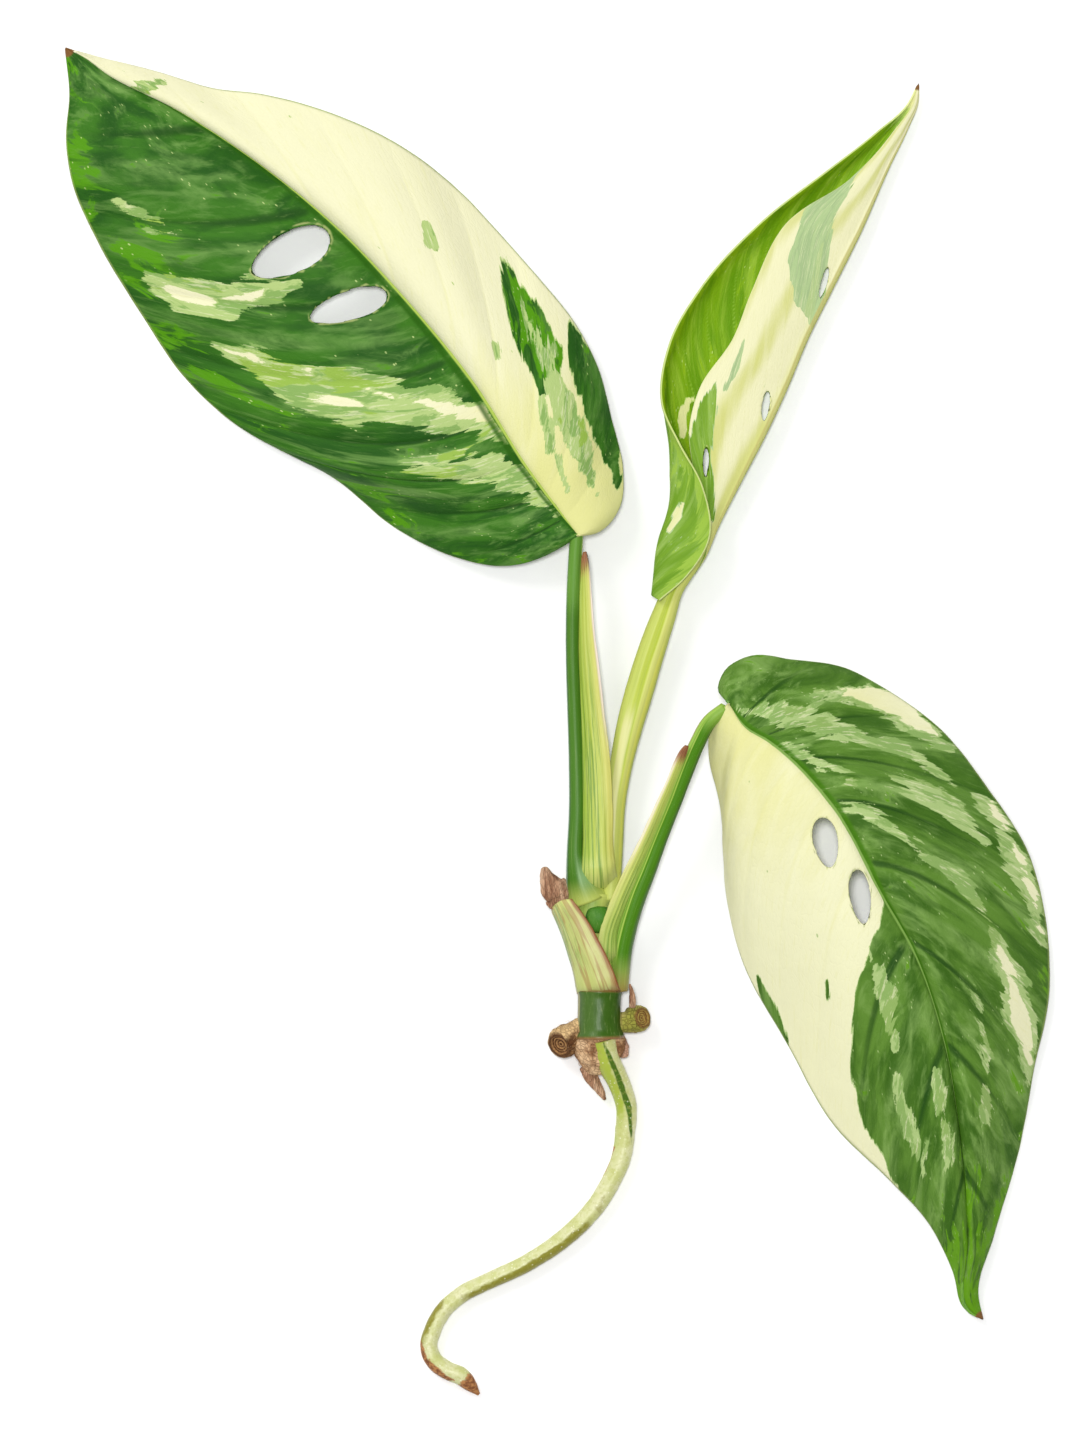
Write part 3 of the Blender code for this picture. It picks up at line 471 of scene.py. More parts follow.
def relief(s, v, width, veins, depth):
    """Height of the upper face over a smooth blade: pillows between sunk side veins, and a sunk midrib."""
    pillow = np.abs(np.sin(math.pi * (s * veins))) ** 0.7
    span = clamp(v / 0.18) * (1 - 0.45 * v) * clamp((1 - v) / 0.06)
    ends = clamp(np.sin(math.pi * s)) ** 0.5
    return depth * (pillow - 0.5) * span * ends - RIB_GROOVE * hump(v * width, RIB_GROOVE_WIDTH) * ends


def blade_object(name, grid, s, v, holes, paint, sweep=0.0):
    """A closed thin blade: its upper face is the first material, its underside the second."""
    across, along = v[None, :], s[:, None]
    v_all, s_all = (values.ravel() for values in np.broadcast_arrays(across, along))
    fields = paint(grid.reshape(-1, 3)[:, :2], v_all, s_all)
    keep = open_holes(grid, holes)
    obj = surface_object(name, grid.reshape(-1, 3), grid_faces(*grid.shape[:2], keep))
    mesh = obj.data
    give_grid_map(mesh, across, along - sweep * np.abs(across))
    for field, values in fields.items():
        give_values(mesh, field, values)
    bm = bmesh.new()
    bm.from_mesh(mesh)
    bmesh.ops.remove_doubles(bm, verts=bm.verts, dist=0.01 * MM)
    bmesh.ops.delete(bm, geom=[vert for vert in bm.verts if not vert.link_faces], context="VERTS")
    bm.to_mesh(mesh)
    bm.free()
    thicken(obj, BLADE_THICKNESS, back_material=1)
    return obj


def hole_value(points, hole):
    """Below 1 inside an egg-shaped hole, 1 on its edge."""
    x, y, length, width, angle = hole
    turn = math.radians(angle)
    dx, dy = points[..., 0] - x, points[..., 1] - y
    along = (dx * math.cos(turn) + dy * math.sin(turn)) / (length / 2)
    across = (dy * math.cos(turn) - dx * math.sin(turn)) / (width / 2)
    across = across / (1 + EGG * np.clip(along, -1, 1))
    return np.sqrt(along**2 + across**2)


def open_holes(grid, holes):
    """Slides the points that fall in a hole out to its edge, and says which cells stay."""
    inside = np.zeros(grid.shape[:2], bool)
    for hole in holes:
        value = hole_value(grid, hole)
        within = value < 1.0
        centre = np.array(hole[:2])
        scale = np.where(within, 1.0 / np.maximum(value, 0.05), 1.0)[..., None]
        moved = centre + (grid[..., :2] - centre) * scale
        grid[..., :2] = np.where(within[..., None], moved, grid[..., :2])
        inside |= within
    return ~(inside[:-1, :-1] & inside[1:, :-1] & inside[:-1, 1:] & inside[1:, 1:])


def flat_blade(name, midrib, green_margin, cream_margin, dome, holes, veins, paint, seed):
    """A blade whose v runs from -1 at its green margin to 1 at its cream one."""
    rows = int(length_of(midrib) / BLADE_CELL)
    green, cream = (half_blade(midrib, margin, dome, rows) for margin in (green_margin, cream_margin))
    grid = np.concatenate([green[:, ::-1], cream[:, 1:]], axis=1)
    s = np.linspace(0.0, 1.0, rows)
    v = np.linspace(-1.0, 1.0, 2 * BLADE_COLUMNS + 1)
    from_rib = np.abs(v)[None, :]
    width = np.linalg.norm(grid[:, -1] - grid[:, BLADE_COLUMNS], axis=1).mean()
    height = relief(s[:, None], from_rib, width, veins, BLADE_RELIEF)
    height = height * np.where(v > 0, CREAM_RELIEF, 1.0)[None, :]
    height = height + WAVE * wobble(grid, WAVE_LENGTH, seed) * from_rib
    height = height + CRUMPLE * wobble(grid, CRUMPLE_LENGTH, seed + 1)
    grid = grid + surface_normals(grid) * height[..., None]
    return blade_object(name, grid, s, v, holes, paint)


def rolled_blade(name, stations, holes, veins, paint, seed):
    """The half unrolled blade: a smooth line round each station, and smooth lines from station to station."""
    s = np.linspace(0.0, 1.0, ROLLED_ROWS)
    guides = [smooth_line(guide, s) for guide in zip(*stations)]
    grid = np.zeros((ROLLED_ROWS, ROLLED_LOWER + ROLLED_UPPER, 3))
    rise = np.linspace(0.0, 1.0, ROLLED_UPPER + 1)[1:, None]
    for r in range(ROLLED_ROWS):
        *lower, rib, margin = (guide[r] for guide in guides)
        grid[r, :ROLLED_LOWER] = smooth_line([*lower, rib], np.linspace(0.0, 1.0, ROLLED_LOWER))
        upper = rib * (1 - rise) + margin * rise
        upper[:, 2] += (4 * rise * (1 - rise))[:, 0] * math.sin(math.pi * s[r]) ** 0.5
        grid[r, ROLLED_LOWER:] = upper
    v = np.concatenate([np.linspace(-1.0, 0.0, ROLLED_LOWER), rise[:, 0]])
    from_rib = np.abs(v)[None, :]
    height = relief(s[:, None], from_rib, ROLLED_WIDTH, veins, ROLLED_RELIEF)
    height = height + ROLLED_WAVE * wobble(grid, ROLLED_WAVE_LENGTH, seed) * from_rib
    height = height * clamp(8 * (1 - s))[:, None]
    grid[1:-1] += (surface_normals(grid) * height[..., None])[1:-1]
    return blade_object(name, grid, s, v, holes, paint, ROLLED_SWEEP)


# ================================================================ stalks, sheaths and paths


def round_section(t, turn):
    return np.ones_like(t)


def rounding(distance, reach):
    """How wide a rounded end is at a distance from its tip: 0 at the tip, 1 from the reach on."""
    return np.sqrt(clamp(1 - (1 - clamp(distance / reach)) ** 2))


def stalk(
    name, stations, shape=round_section, sides=48, step=0.55, caps=(0.6, 0.6), grow=0.0,
    bump=0.0, bump_size=3.0, seed=0.0, dish=0.0,
):
    """A round closed piece through stations. shape(t, turn) scales its radius; turn 0 is right, 90 is up.

    Its map runs once round from underneath, and from 0 at its start to 1 at its end, and on over a dished
    end face."""
    length = length_of(stations)
    rows = max(8, int(length / step))
    t = np.linspace(0.0, 1.0, rows)
    line = smooth_line(stations, t)
    ahead = unit(np.gradient(line[:, :3], axis=0))
    shrink = np.ones(rows)
    if dish:
        shrink = np.concatenate([shrink, np.linspace(0.95, 0.05, DISH_ROWS)])
        sunk = line[-1] * np.ones((DISH_ROWS, 1))
        rings = np.sin(np.linspace(0.0, 5.0 * math.pi, DISH_ROWS)) * 0.16
        rings = rings - dish * np.sin(np.linspace(0, 0.5 * math.pi, DISH_ROWS))
        sunk[:, :3] += ahead[-1] * rings[:, None]
        line = np.concatenate([line, sunk])
        ahead = np.concatenate([ahead, ahead[-1] * np.ones((DISH_ROWS, 1))])
        t = np.concatenate([t, np.linspace(1.0, 1.25, DISH_ROWS)])
        rows += DISH_ROWS
    side = unit(np.cross(ahead, (0.0, 0.0, 1.0)))
    up = np.cross(side, ahead)
    turn = np.linspace(-0.5 * math.pi, 1.5 * math.pi, sides + 1)[:-1]
    inset = np.minimum(t, 1.0)
    rounded = rounding(inset * length, caps[0]) * rounding((1 - inset) * length, caps[1])
    rounded = np.maximum(rounded, np.where(t > 0.5, DISH_RIM, 0.02) if dish else 0.02) * shrink
    wide = (line[:, 3] / 2 + grow) * rounded
    high = (line[:, 4] / 2 + grow) * rounded
    out = side[:, None, :] * (np.cos(turn)[None, :] * wide[:, None])[..., None]
    out = out + up[:, None, :] * (np.sin(turn)[None, :] * high[:, None])[..., None]
    points = line[:, None, :3] + out * shape(t[:, None], turn[None, :])[..., None]
    if bump:
        rough = bump * wobble(points, bump_size, seed)
        points = points + unit(out) * rough[..., None] * rounded[:, None, None]

    faces, corners = [], []
    around = [(k, (k + 1) % sides, k / sides, (k + 1) / sides) for k in range(sides)]
    for r in range(rows - 1):
        a, b = r * sides, (r + 1) * sides
        for k, n, here, there in around:
            faces.append((a + k, b + k, b + n, a + n))
            corners += [(here, t[r]), (here, t[r + 1]), (there, t[r + 1]), (there, t[r])]
    first, last = rows * sides, (rows - 1) * sides
    for k, n, here, there in around:
        middle = (k + 0.5) / sides
        faces += [(k, n, first), (last + n, last + k, first + 1)]
        corners += [(here, 0.0), (there, 0.0), (middle, 0.0)]
        corners += [(there, 1.0), (here, 1.0), (middle, 1.0)]
    ends = [points[0].mean(axis=0), points[-1].mean(axis=0)]
    obj = surface_object(name, np.concatenate([points.reshape(-1, 3), ends]), faces)
    give_map(obj.data, corners)
    return obj


def longer(stations, start=0.0, end=0.0):
    """The same stations with the first and last moved outwards, so that neighbours meet."""
    line = [np.array(station, float) for station in stations]
    first = unit(line[0][:3] - line[1][:3]) * start
    last = unit(line[-1][:3] - line[-2][:3]) * end
    line[0][:3] += first
    line[-1][:3] += last
    return [tuple(station) for station in line]


def tipped_up(stations, rise):
    """The same stations with the last one raised, so that the end looks upwards."""
    x, y, z, wide, high = stations[-1]
    return [*stations[:-1], (x, y, z + rise, wide, high)]


def longer_sheath(stations, reach):
    """The same sheath carried on past its last station, down over what it clasps."""
    ends = ((np.array(p), np.array(q)) for p, q in zip(stations[-1], stations[-2]))
    return [*stations, [tuple(p + unit(p - q) * reach - (0, 0, CLASP_DROP)) for p, q in ends]]


def tucked(stations, reach):
    """The same sheath with its joined edge carried on under the stalk beside it."""
    return [((a[0] + reach, a[1], a[2] - TUCK_DROP), a, *rest) for a, *rest in stations]


def sheath(
    name, stations, thickness, edge_wave, columns=22, step=0.5, seed=0.0, sink=0.0, tapered=True,
):
    """A thin wing of tissue. Its map runs across from its joined edge to its free edge, and up it."""
    rows = int(length_of([station[1] for station in stations]) / step)
    s = np.linspace(0.0, 1.0, rows)
    guides = [smooth_line(line, s) for line in zip(*stations)]
    across = np.linspace(0.0, 1.0, columns)
    grid = np.array([smooth_line([guide[r] for guide in guides], across) for r in range(rows)])
    if tapered:
        past = np.maximum(s - TAPER_FROM, 0.0) / (1 - TAPER_FROM)
        narrow = np.sqrt(np.clip(1 - past**2, 0.03, 1))[:, None, None]
        keep = grid[:, 3 * columns // 8, None]
        grid = keep + (grid - keep) * narrow
    grid[..., 2] -= (sink * clamp(1 - s / 0.07) ** 2)[:, None]
    ridges = RIDGE_HEIGHT * np.sin(across * 2 * math.pi * SHEATH_RIDGES)[None, :]
    ridges = ridges + STREAK_HEIGHT * wobble(grid * (1.0, 0.25, 1.0), STREAK_LENGTH, seed)
    grid = grid + surface_normals(grid) * ridges[..., None]
    lean = unit(grid[:, -1] - grid[:, -2]) * (edge_wave * wobble(grid[:, -1], 3.0, seed + 2))[:, None]
    grid[:, -3:] += lean[:, None, :] * np.array([0.2, 0.6, 1.0])[None, :, None]
    obj = surface_object(name, grid.reshape(-1, 3), grid_faces(rows, columns))
    give_grid_map(obj.data, across[None, :], s[:, None])
    thicken(obj, thickness)
    return obj


class Tree:
    """A small helper that builds one geometry node tree."""

    def __init__(self, name):
        self.group = bpy.data.node_groups.new(name, "GeometryNodeTree")
        self.sockets = {}
        for way in ("INPUT", "OUTPUT"):
            self.group.interface.new_socket("Geometry", in_out=way, socket_type="NodeSocketGeometry")
        self.start = self.group.nodes.new("NodeGroupInput")
        self.end = self.group.nodes.new("NodeGroupOutput")

    def size(self, name, kind="NodeSocketFloat"):
        """A named input of the tree."""
        socket = self.group.interface.new_socket(name, in_out="INPUT", socket_type=kind)
        self.sockets[name] = socket.identifier
        return self.start.outputs[name]

    def add(self, kind, inputs=(), output=0, **settings):
        """A node with its inputs set or wired; returns one of its outputs."""
        node = self.group.nodes.new(kind)
        for key, value in settings.items():
            setattr(node, key, value)
        for key, value in dict(inputs).items():
            if isinstance(value, bpy.types.NodeSocket):
                self.group.links.new(value, node.inputs[key])
            else:
                node.inputs[key].default_value = value
        return node.outputs[output]

    def finish(self, geometry, material):
        """Ends the tree with real geometry that carries its material."""
        real = self.add("GeometryNodeRealizeInstances", {0: geometry})
        dressed = self.add("GeometryNodeSetMaterial", {"Geometry": real, "Material": material})
        smooth = self.add("GeometryNodeSetShadeSmooth", {0: dressed})
        self.group.links.new(smooth, self.end.inputs[0])
        return self

    def run(self, obj, **values):
        """Runs the tree on an object and leaves the plain mesh that it makes."""
        modifier = obj.modifiers.new("Tree", "NODES")
        modifier.node_group = self.group
        for name, value in values.items():
            modifier[self.sockets[name]] = value
        return apply_modifiers(obj)


def path_object(name, line):
    """A path for a tree to follow, through points of x, y, z and radius."""
    edges = [(i, i + 1) for i in range(len(line) - 1)]
    mesh = new_mesh(name, [point[:3] for point in line], edges, [])
    give_values(mesh, "radius_here", [point[3] * MM for point in line])
    return new_object(name, mesh)


def rib_tree(material, sides):
    """Sweeps a round rib along each path, as thick as the path's own radius, roughened a little by noise."""
    tree = Tree("swept_ribs")
    roughness, grain = tree.size("Roughness"), tree.size("Grain")
    curve = tree.add("GeometryNodeMeshToCurve", {"Mesh": tree.start.outputs[0]})
    radius = tree.add("GeometryNodeInputNamedAttribute", {"Name": "radius_here"}, data_type="FLOAT")
    place = tree.add("GeometryNodeSplineParameter")
    marked = tree.add(
        "GeometryNodeStoreNamedAttribute", {"Geometry": curve, "Name": "reach", "Value": place},
        data_type="FLOAT", domain="POINT",
    )
    ring = tree.add("GeometryNodeCurvePrimitiveCircle", {"Resolution": sides, "Radius": 1.0})
    swept = tree.add(
        "GeometryNodeCurveToMesh",
        {"Curve": marked, "Profile Curve": ring, "Scale": radius, "Fill Caps": True},
    )
    speckle = tree.add("ShaderNodeTexNoise", {"Scale": grain, "Detail": 3.0})
    centred = tree.add("ShaderNodeMath", {0: speckle, 1: 0.5}, operation="SUBTRACT")
    height = tree.add("ShaderNodeMath", {0: centred, 1: roughness}, operation="MULTIPLY")
    normal = tree.add("GeometryNodeInputNormal")
    offset = tree.add("ShaderNodeVectorMath", {0: normal, "Scale": height}, operation="SCALE")
    moved = tree.add("GeometryNodeSetPosition", {"Geometry": swept, "Offset": offset})
    return tree.finish(moved, material)


def fibre_tree(material):
    """Short curved fibres that stand out of a surface at random places."""
    tree = Tree("loose_fibres")
    density, length, thickness = tree.size("Density"), tree.size("Length"), tree.size("Thickness")
    seed = tree.size("Seed", "NodeSocketInt")
    scatter = {"Mesh": tree.start.outputs[0], "Density": density, "Seed": seed}
    spots = tree.add("GeometryNodeDistributePointsOnFaces", scatter)
    facing = spots.node.outputs[2]
    strand = tree.add("GeometryNodeCurvePrimitiveBezierSegment", {
        "Resolution": 6, "Start": (0, 0, 0), "Start Handle": (0.1, 0, 0.4),
        "End Handle": (0.5, 0, 0.6), "End": (1.0, 0.1, 0.5),
    })
    place = tree.add("GeometryNodeSplineParameter")
    taper = tree.add("ShaderNodeMapRange", {"Value": place, "To Min": 1.0, "To Max": 0.2})
    ring = tree.add("GeometryNodeCurvePrimitiveCircle", {"Resolution": 5, "Radius": thickness})
    hair = tree.add(
        "GeometryNodeCurveToMesh",
        {"Curve": strand, "Profile Curve": ring, "Scale": taper, "Fill Caps": True},
    )
    vary = tree.add("FunctionNodeRandomValue", {2: 0.6, 3: 1.4, "Seed": seed}, 1, data_type="FLOAT")
    size = tree.add("ShaderNodeMath", {0: vary, 1: length}, operation="MULTIPLY")
    placed = tree.add(
        "GeometryNodeInstanceOnPoints",
        {"Points": spots, "Instance": hair, "Rotation": facing, "Scale": size},
    )
    return tree.finish(placed, material)


# ================================================================ materials


def srgb(red, green, blue):
    """A display colour, 0 to 255, as the linear colour that a shader takes."""
    values = []
    for c in (red / 255, green / 255, blue / 255):
        values.append(c / 12.92 if c <= 0.04045 else ((c + 0.055) / 1.055) ** 2.4)
    return (*values, 1.0)


class Shading:
    """A small helper that adds nodes to one material and wires them as they are named."""

    def __init__(self, name, roughness, specular):
        self.material = bpy.data.materials.new(name)
        self.material.use_nodes = True
        self.tree = self.material.node_tree
        self.shader = self.tree.nodes["Principled BSDF"]
        self.shader.inputs["Roughness"].default_value = roughness
        self.shader.inputs["Specular IOR Level"].default_value = specular
        self.map = self.add("ShaderNodeUVMap", settings=(("uv_map", "Along"),))
        self.place = self.add("ShaderNodeTexCoord", output=3)

    def set(self, socket, value):
        if isinstance(value, bpy.types.NodeSocket):
            self.tree.links.new(value, socket)
        else:
            socket.default_value = value

    def add(self, kind, output=0, settings=(), inputs=(), **named):
        node = self.tree.nodes.new(kind)
        for key, value in settings:
            setattr(node, key, value)
        for key, value in (*enumerate(inputs), *named.items()):
            self.set(node.inputs[key], value)
        return node.outputs[output]

    def math(self, operation, *values):
        return self.add("ShaderNodeMath", 0, (("operation", operation),), values)

    def plus(self, *values):
        total = values[0]
        for value in values[1:]:
            total = self.math("ADD", total, value)
        return total

    def times(self, a, b):
        return self.math("MULTIPLY", a, b)

    def swing(self, value, size, middle=0.5):
        """A value's swing about its middle, made larger or smaller."""
        return self.times(self.math("SUBTRACT", value, middle), size)

    def distance(self, a, b):
        return self.math("ABSOLUTE", self.math("SUBTRACT", a, b))

    def mix(self, share, first, second, blend="MIX"):
        node = self.tree.nodes.new("ShaderNodeMix")
        node.data_type = "RGBA"
        node.blend_type = blend
        for socket, value in zip((0, 6, 7), (share, first, second)):
            self.set(node.inputs[socket], value)
        return node.outputs[2]

    def step(self, value, low, high):
        """0 at low and 1 at high, smooth between."""
        smooth = (("interpolation_type", "SMOOTHSTEP"),)
        return self.add("ShaderNodeMapRange", 0, smooth, (value, low, high))

    def layers(self, base, *rows):
        """Lays tones over a base: each row is a tone, a value, where it starts and is full, and a share."""
        for tone, value, low, high, *share in rows:
            where = self.step(value, low, high)
            base = self.mix(self.times(where, share[0]) if share else where, base, tone)
        return base

    def attribute(self, name):
        return self.add("ShaderNodeAttribute", "Fac", (("attribute_name", name),))

    def part(self, axis):
        """One part of the piece's own map: 0 is across, 1 is along."""
        return self.add("ShaderNodeSeparateXYZ", axis, Vector=self.map)

    def scaled(self, vector, *scale):
        return self.add("ShaderNodeMapping", Vector=vector, Scale=scale)

    def noise(self, vector, scale, detail, roughness, distortion=0.0):
        return self.add(
            "ShaderNodeTexNoise", Vector=vector, Scale=scale, Detail=detail, Roughness=roughness,
            Distortion=distortion,
        )

    def streaks(self, across, along, detail, roughness, distortion=0.0):
        """Noise on the piece's own map, at its own scale across and along."""
        return self.noise(self.scaled(self.map, across, along, 1.0), 1.0, detail, roughness, distortion)

    def cells(self, vector, scale, feature="F1"):
        return self.add("ShaderNodeTexVoronoi", 0, (("feature", feature),), Vector=vector, Scale=scale)

    def specks(self, across, along, most, least):
        """Dots on the piece's own map, 1 at their middles."""
        return self.step(self.cells(self.scaled(self.map, across, along, 1.0), 1.0), most, least)

    def finish(self, colour, height, strength, distance):
        """Sets the colour and a fine relief, and returns the material."""
        self.set(self.shader.inputs["Base Color"], colour)
        bump = self.add("ShaderNodeBump", Height=height, Strength=strength, Distance=distance)
        self.set(self.shader.inputs["Normal"], bump)
        return self.material


def blade_material(name, tones):
    """Leaf tissue: a mosaic of greens that follows the veins, with painted pale and cream sectors, and a
    painted sheen in streaks and on the crests between the side veins.
    """
    m = Shading(name, roughness=0.60, specular=0.10)
    flames = m.streaks(2.3, 33.0, 7.0, 0.60, 0.8)
    mosaic = m.streaks(2.1, 17.0, 6.0, 0.58, 0.7)
    second = m.streaks(3.4, 23.0, 7.0, 0.62, 0.9)
    threads = m.streaks(9.0, 170.0, 4.0, 0.65)
    fine = m.noise(m.place, 2200.0, 3.0, 0.65)
    vein = m.attribute("vein")
    pale, cream, deep, sheen = tones["pale"], tones["cream"], tones["deep"], tones["sheen"]
    deep_cream_and_fold_shade = tones["cream_deep"]

    bright = m.plus(m.attribute("bright"), m.swing(second, 3.6, 0.56))
    tissue = m.layers(
        deep,
        (tones["green"], mosaic, 0.38, 0.62),
        # painted sheen: these three rows lay a highlight tone in soft streaks and on the crests between the
        # side veins
        (sheen, second, 0.52, 0.68, 0.55),
        (sheen, flames, 0.54, 0.68, 0.45),
        (sheen, m.attribute("crest_sheen"), 0.15, 0.8, m.times(m.step(second, 0.36, 0.60), 0.55)),
        (tones["bright"], bright, 0.30, 0.50, 0.90),
        (deep, flames, 0.46, 0.34, 0.55),
        (tones["vein"], vein, 0.25, 0.9, 0.75),
        (tones["grey"], threads, 0.56, 0.66, 0.14),
        (pale, second, 0.53, 0.57, m.specks(34.0, 84.0, 0.17, 0.10)),
    )
    pale_tone = m.layers(
        pale,
        (tones["grey"], second, 0.49, 0.53),
        (tones["lime"], mosaic, 0.56, 0.59),
        (cream, threads, 0.54, 0.62, 0.45),
    )
    cream_tone = m.layers(
        cream,
        # deeper cream towards the base of a blade; on the middle blade's near half this is also painted shade
        # in bands of soft folds
        (deep_cream_and_fold_shade, m.plus(m.attribute("deep_cream_and_fold_shade"), m.swing(mosaic, 1.1, 0.45)), 0.0, 1.1),
        (deep_cream_and_fold_shade, vein, 0.4, 1.0, 0.22),
        (deep_cream_and_fold_shade, threads, 0.54, 0.66, 0.22),
        (tones["lime"], second, 0.50, 0.56, m.times(m.specks(10.0, 24.0, 0.085, 0.045), 0.85)),
    )
    ragged = m.plus(m.swing(flames, 1.9), m.swing(second, 1.1), m.swing(fine, 0.12))
    pale_field = m.plus(m.attribute("pale"), m.times(ragged, 0.62))
    cream_field = m.plus(m.attribute("cream"), m.times(ragged, 0.50))
    tissue = m.layers(
        tissue,
        (pale_tone, pale_field, 0.49, 0.53),
        (pale, cream_field, 0.44, 0.47),
        (cream_tone, cream_field, 0.49, 0.52),
        (tones["rib_shade"], m.attribute("shade"), 0.15, 0.9, 0.85),
        (tones["rib"], m.attribute("rib"), 0.30, 0.75),
        (tones["edge"], m.attribute("edge"), 0.5, 0.9, 0.7),
        (tones["rim"], m.attribute("rim"), 0.3, 0.8, 0.7),
        (srgb(126, 88, 48), m.attribute("brown"), 0.35, 0.65),
    )
    net = m.cells(m.scaled(m.map, 26.0, 90.0, 1.0), 1.0, "DISTANCE_TO_EDGE")
    height = m.plus(m.times(threads, 0.8), m.times(m.step(net, 0.0, 0.12), 0.35))
    return m.finish(tissue, height, 0.35, 0.00022)


def tone_set(base, **colours):
    """A set of named colours: those given, and the rest as in the base."""
    return base | {name: srgb(*colour) for name, colour in colours.items()}


UPPER_TONES = tone_set(
    {}, green=(56, 110, 26), deep=(32, 80, 18), sheen=(112, 152, 76), bright=(78, 142, 6),
    vein=(24, 64, 14), pale=(168, 190, 118), grey=(130, 164, 88), lime=(142, 174, 72),
    cream=(224, 222, 184), cream_deep=(212, 211, 140), rib=(166, 188, 82), rib_shade=(40, 90, 12),
    edge=(160, 182, 100), rim=(176, 186, 118),
)
UNDER_TONES = tone_set(
    UPPER_TONES, green=(92, 140, 62), deep=(78, 124, 52), sheen=(126, 166, 96), bright=(112, 162, 56),
    vein=(120, 160, 84), cream=(238, 236, 200), rib_shade=(100, 146, 62),
)
RIGHT_TONES = tone_set(
    UPPER_TONES, green=(90, 130, 46), deep=(56, 96, 22), sheen=(132, 167, 88), bright=(92, 146, 14),
    pale=(164, 188, 120), grey=(134, 166, 92), lime=(138, 168, 92), rib=(124, 160, 76),
    cream=(227, 226, 186), cream_deep=(215, 213, 144), rib_shade=(66, 118, 14),
)
LIME_TONES = tone_set(
    UPPER_TONES, green=(118, 162, 12), deep=(98, 146, 6), sheen=(160, 194, 62), bright=(136, 176, 14),
    vein=(150, 190, 62), pale=(190, 212, 116), grey=(148, 186, 72), lime=(184, 206, 76),
    cream=(234, 232, 180), cream_deep=(220, 222, 134), rib_shade=(90, 142, 16),
    edge=(214, 222, 150), rim=(186, 198, 104),
)
NEAR_TONES = tone_set(
    UPPER_TONES, green=(120, 160, 46), deep=(102, 144, 34), sheen=(152, 184, 92), bright=(148, 182, 66),
    vein=(96, 142, 50), pale=(168, 192, 136), grey=(158, 182, 130), lime=(172, 194, 132),
    cream=(227, 225, 182), cream_deep=(200, 202, 122), rib=(206, 208, 124), rib_shade=(190, 184, 110),
    edge=(226, 228, 170), rim=(190, 198, 118),
)


# ================================================================ the blades of this cutting

RIB_GREEN = 0.016  # share of a half blade beside the midrib that stays green
TISSUE_VEINS = 9.0


def vein_line(s, veins, width=0.06):
    """1 on each side vein and 0 between."""
    return hump((s * veins + 0.5) % 1.0 - 0.5, width)


def close_to(xy, x, y, reach, most):
    """A value that falls from its most at a place to 0, over the reach."""
    return clamp(most - np.linalg.norm(xy - np.array((x, y)), axis=1) / reach)


def shared_fields(xy, v, s, rib_width, veins, holes, tip, sweep=0.0):
    """Values that every blade has: its ribs, its edge, the rims of its holes, its brown tip, and the crests
    between its side veins where a painted sheen lies.
    """
    out = np.abs(v)
    swept = s - sweep * out
    return {
        "rib": hump(out * rib_width, 0.50) * clamp(6 * (1 - s) + 0.25),
        "edge": hump((1 - out) * 26.0, 0.30),
        # painted sheen: the crests between the side veins, where a highlight is laid
        "crest_sheen": vein_line(swept + 0.42 / veins, veins, 0.16) * clamp(out * 6),
        "vein": vein_line(swept, veins) * clamp(out * 14) * clamp(1.35 - out),
        "brown": close_to(xy, *tip, 2.0, 1.4),
        "rim": np.max([hump(hole_value(xy, hole) - 1, 0.06) for hole in holes], axis=0),
    }


def paint_left(xy, v, s):
    green_side = v < 0
    islands = stroke_field(xy, LEFT_PALE_IN_CREAM, 2.4)
    light = stroke_field(xy, LEFT_LIGHT_GREEN, 3.0)
    cream_half = 1.0 - np.maximum(stroke_field(xy, LEFT_GREEN_IN_CREAM, 2.4), islands)
    cream = np.where(green_side, stroke_field(xy, LEFT_CREAM, 4.0), cream_half)
    pale_half = np.maximum(clamp(2 * islands), 0.62 * light)
    fields = {
        "cream": np.where(np.abs(v) < RIB_GREEN, 0.0, cream),
        "pale": np.where(green_side, stroke_field(xy, LEFT_PALE, 4.2), pale_half),
        "bright": np.where(green_side, np.clip((np.abs(v) - 0.50) * 1.2, 0, 0.5), 0.16 + 0.9 * light),
        "deep_cream_and_fold_shade": close_to(xy, 4.0, 46.0, 40.0, 1.2),
        "shade": np.where(green_side, hump(np.abs(v) * 42.0 - 1.3, 0.7), 0.0),
    }
    return fields | shared_fields(xy, v, s, 42.0, TISSUE_VEINS, LEFT_HOLES, (-111.4, 152.3))


def paint_right(xy, v, s):
    cream_half = 1.0 - stroke_field(xy, RIGHT_GREEN_IN_CREAM, 2.0)
    cream = np.where(v > 0, cream_half, stroke_field(xy, RIGHT_CREAM, 3.4))
    fields = {
        "cream": np.where(np.abs(v) < RIB_GREEN, 0.0, cream),
        "pale": stroke_field(xy, RIGHT_PALE, 4.0),
        "bright": np.clip((np.abs(v) - 0.72) * 1.3, 0, 0.5) + clamp((s - 0.82) * 5),
        "deep_cream_and_fold_shade": close_to(xy, 38.0, 0.0, 50.0, 0.9),
        "shade": hump(-v * 38.0 - 1.2, 0.9),
    }
    return fields | shared_fields(xy, v, s, 38.0, TISSUE_VEINS, RIGHT_HOLES, (96.4, -135.6))


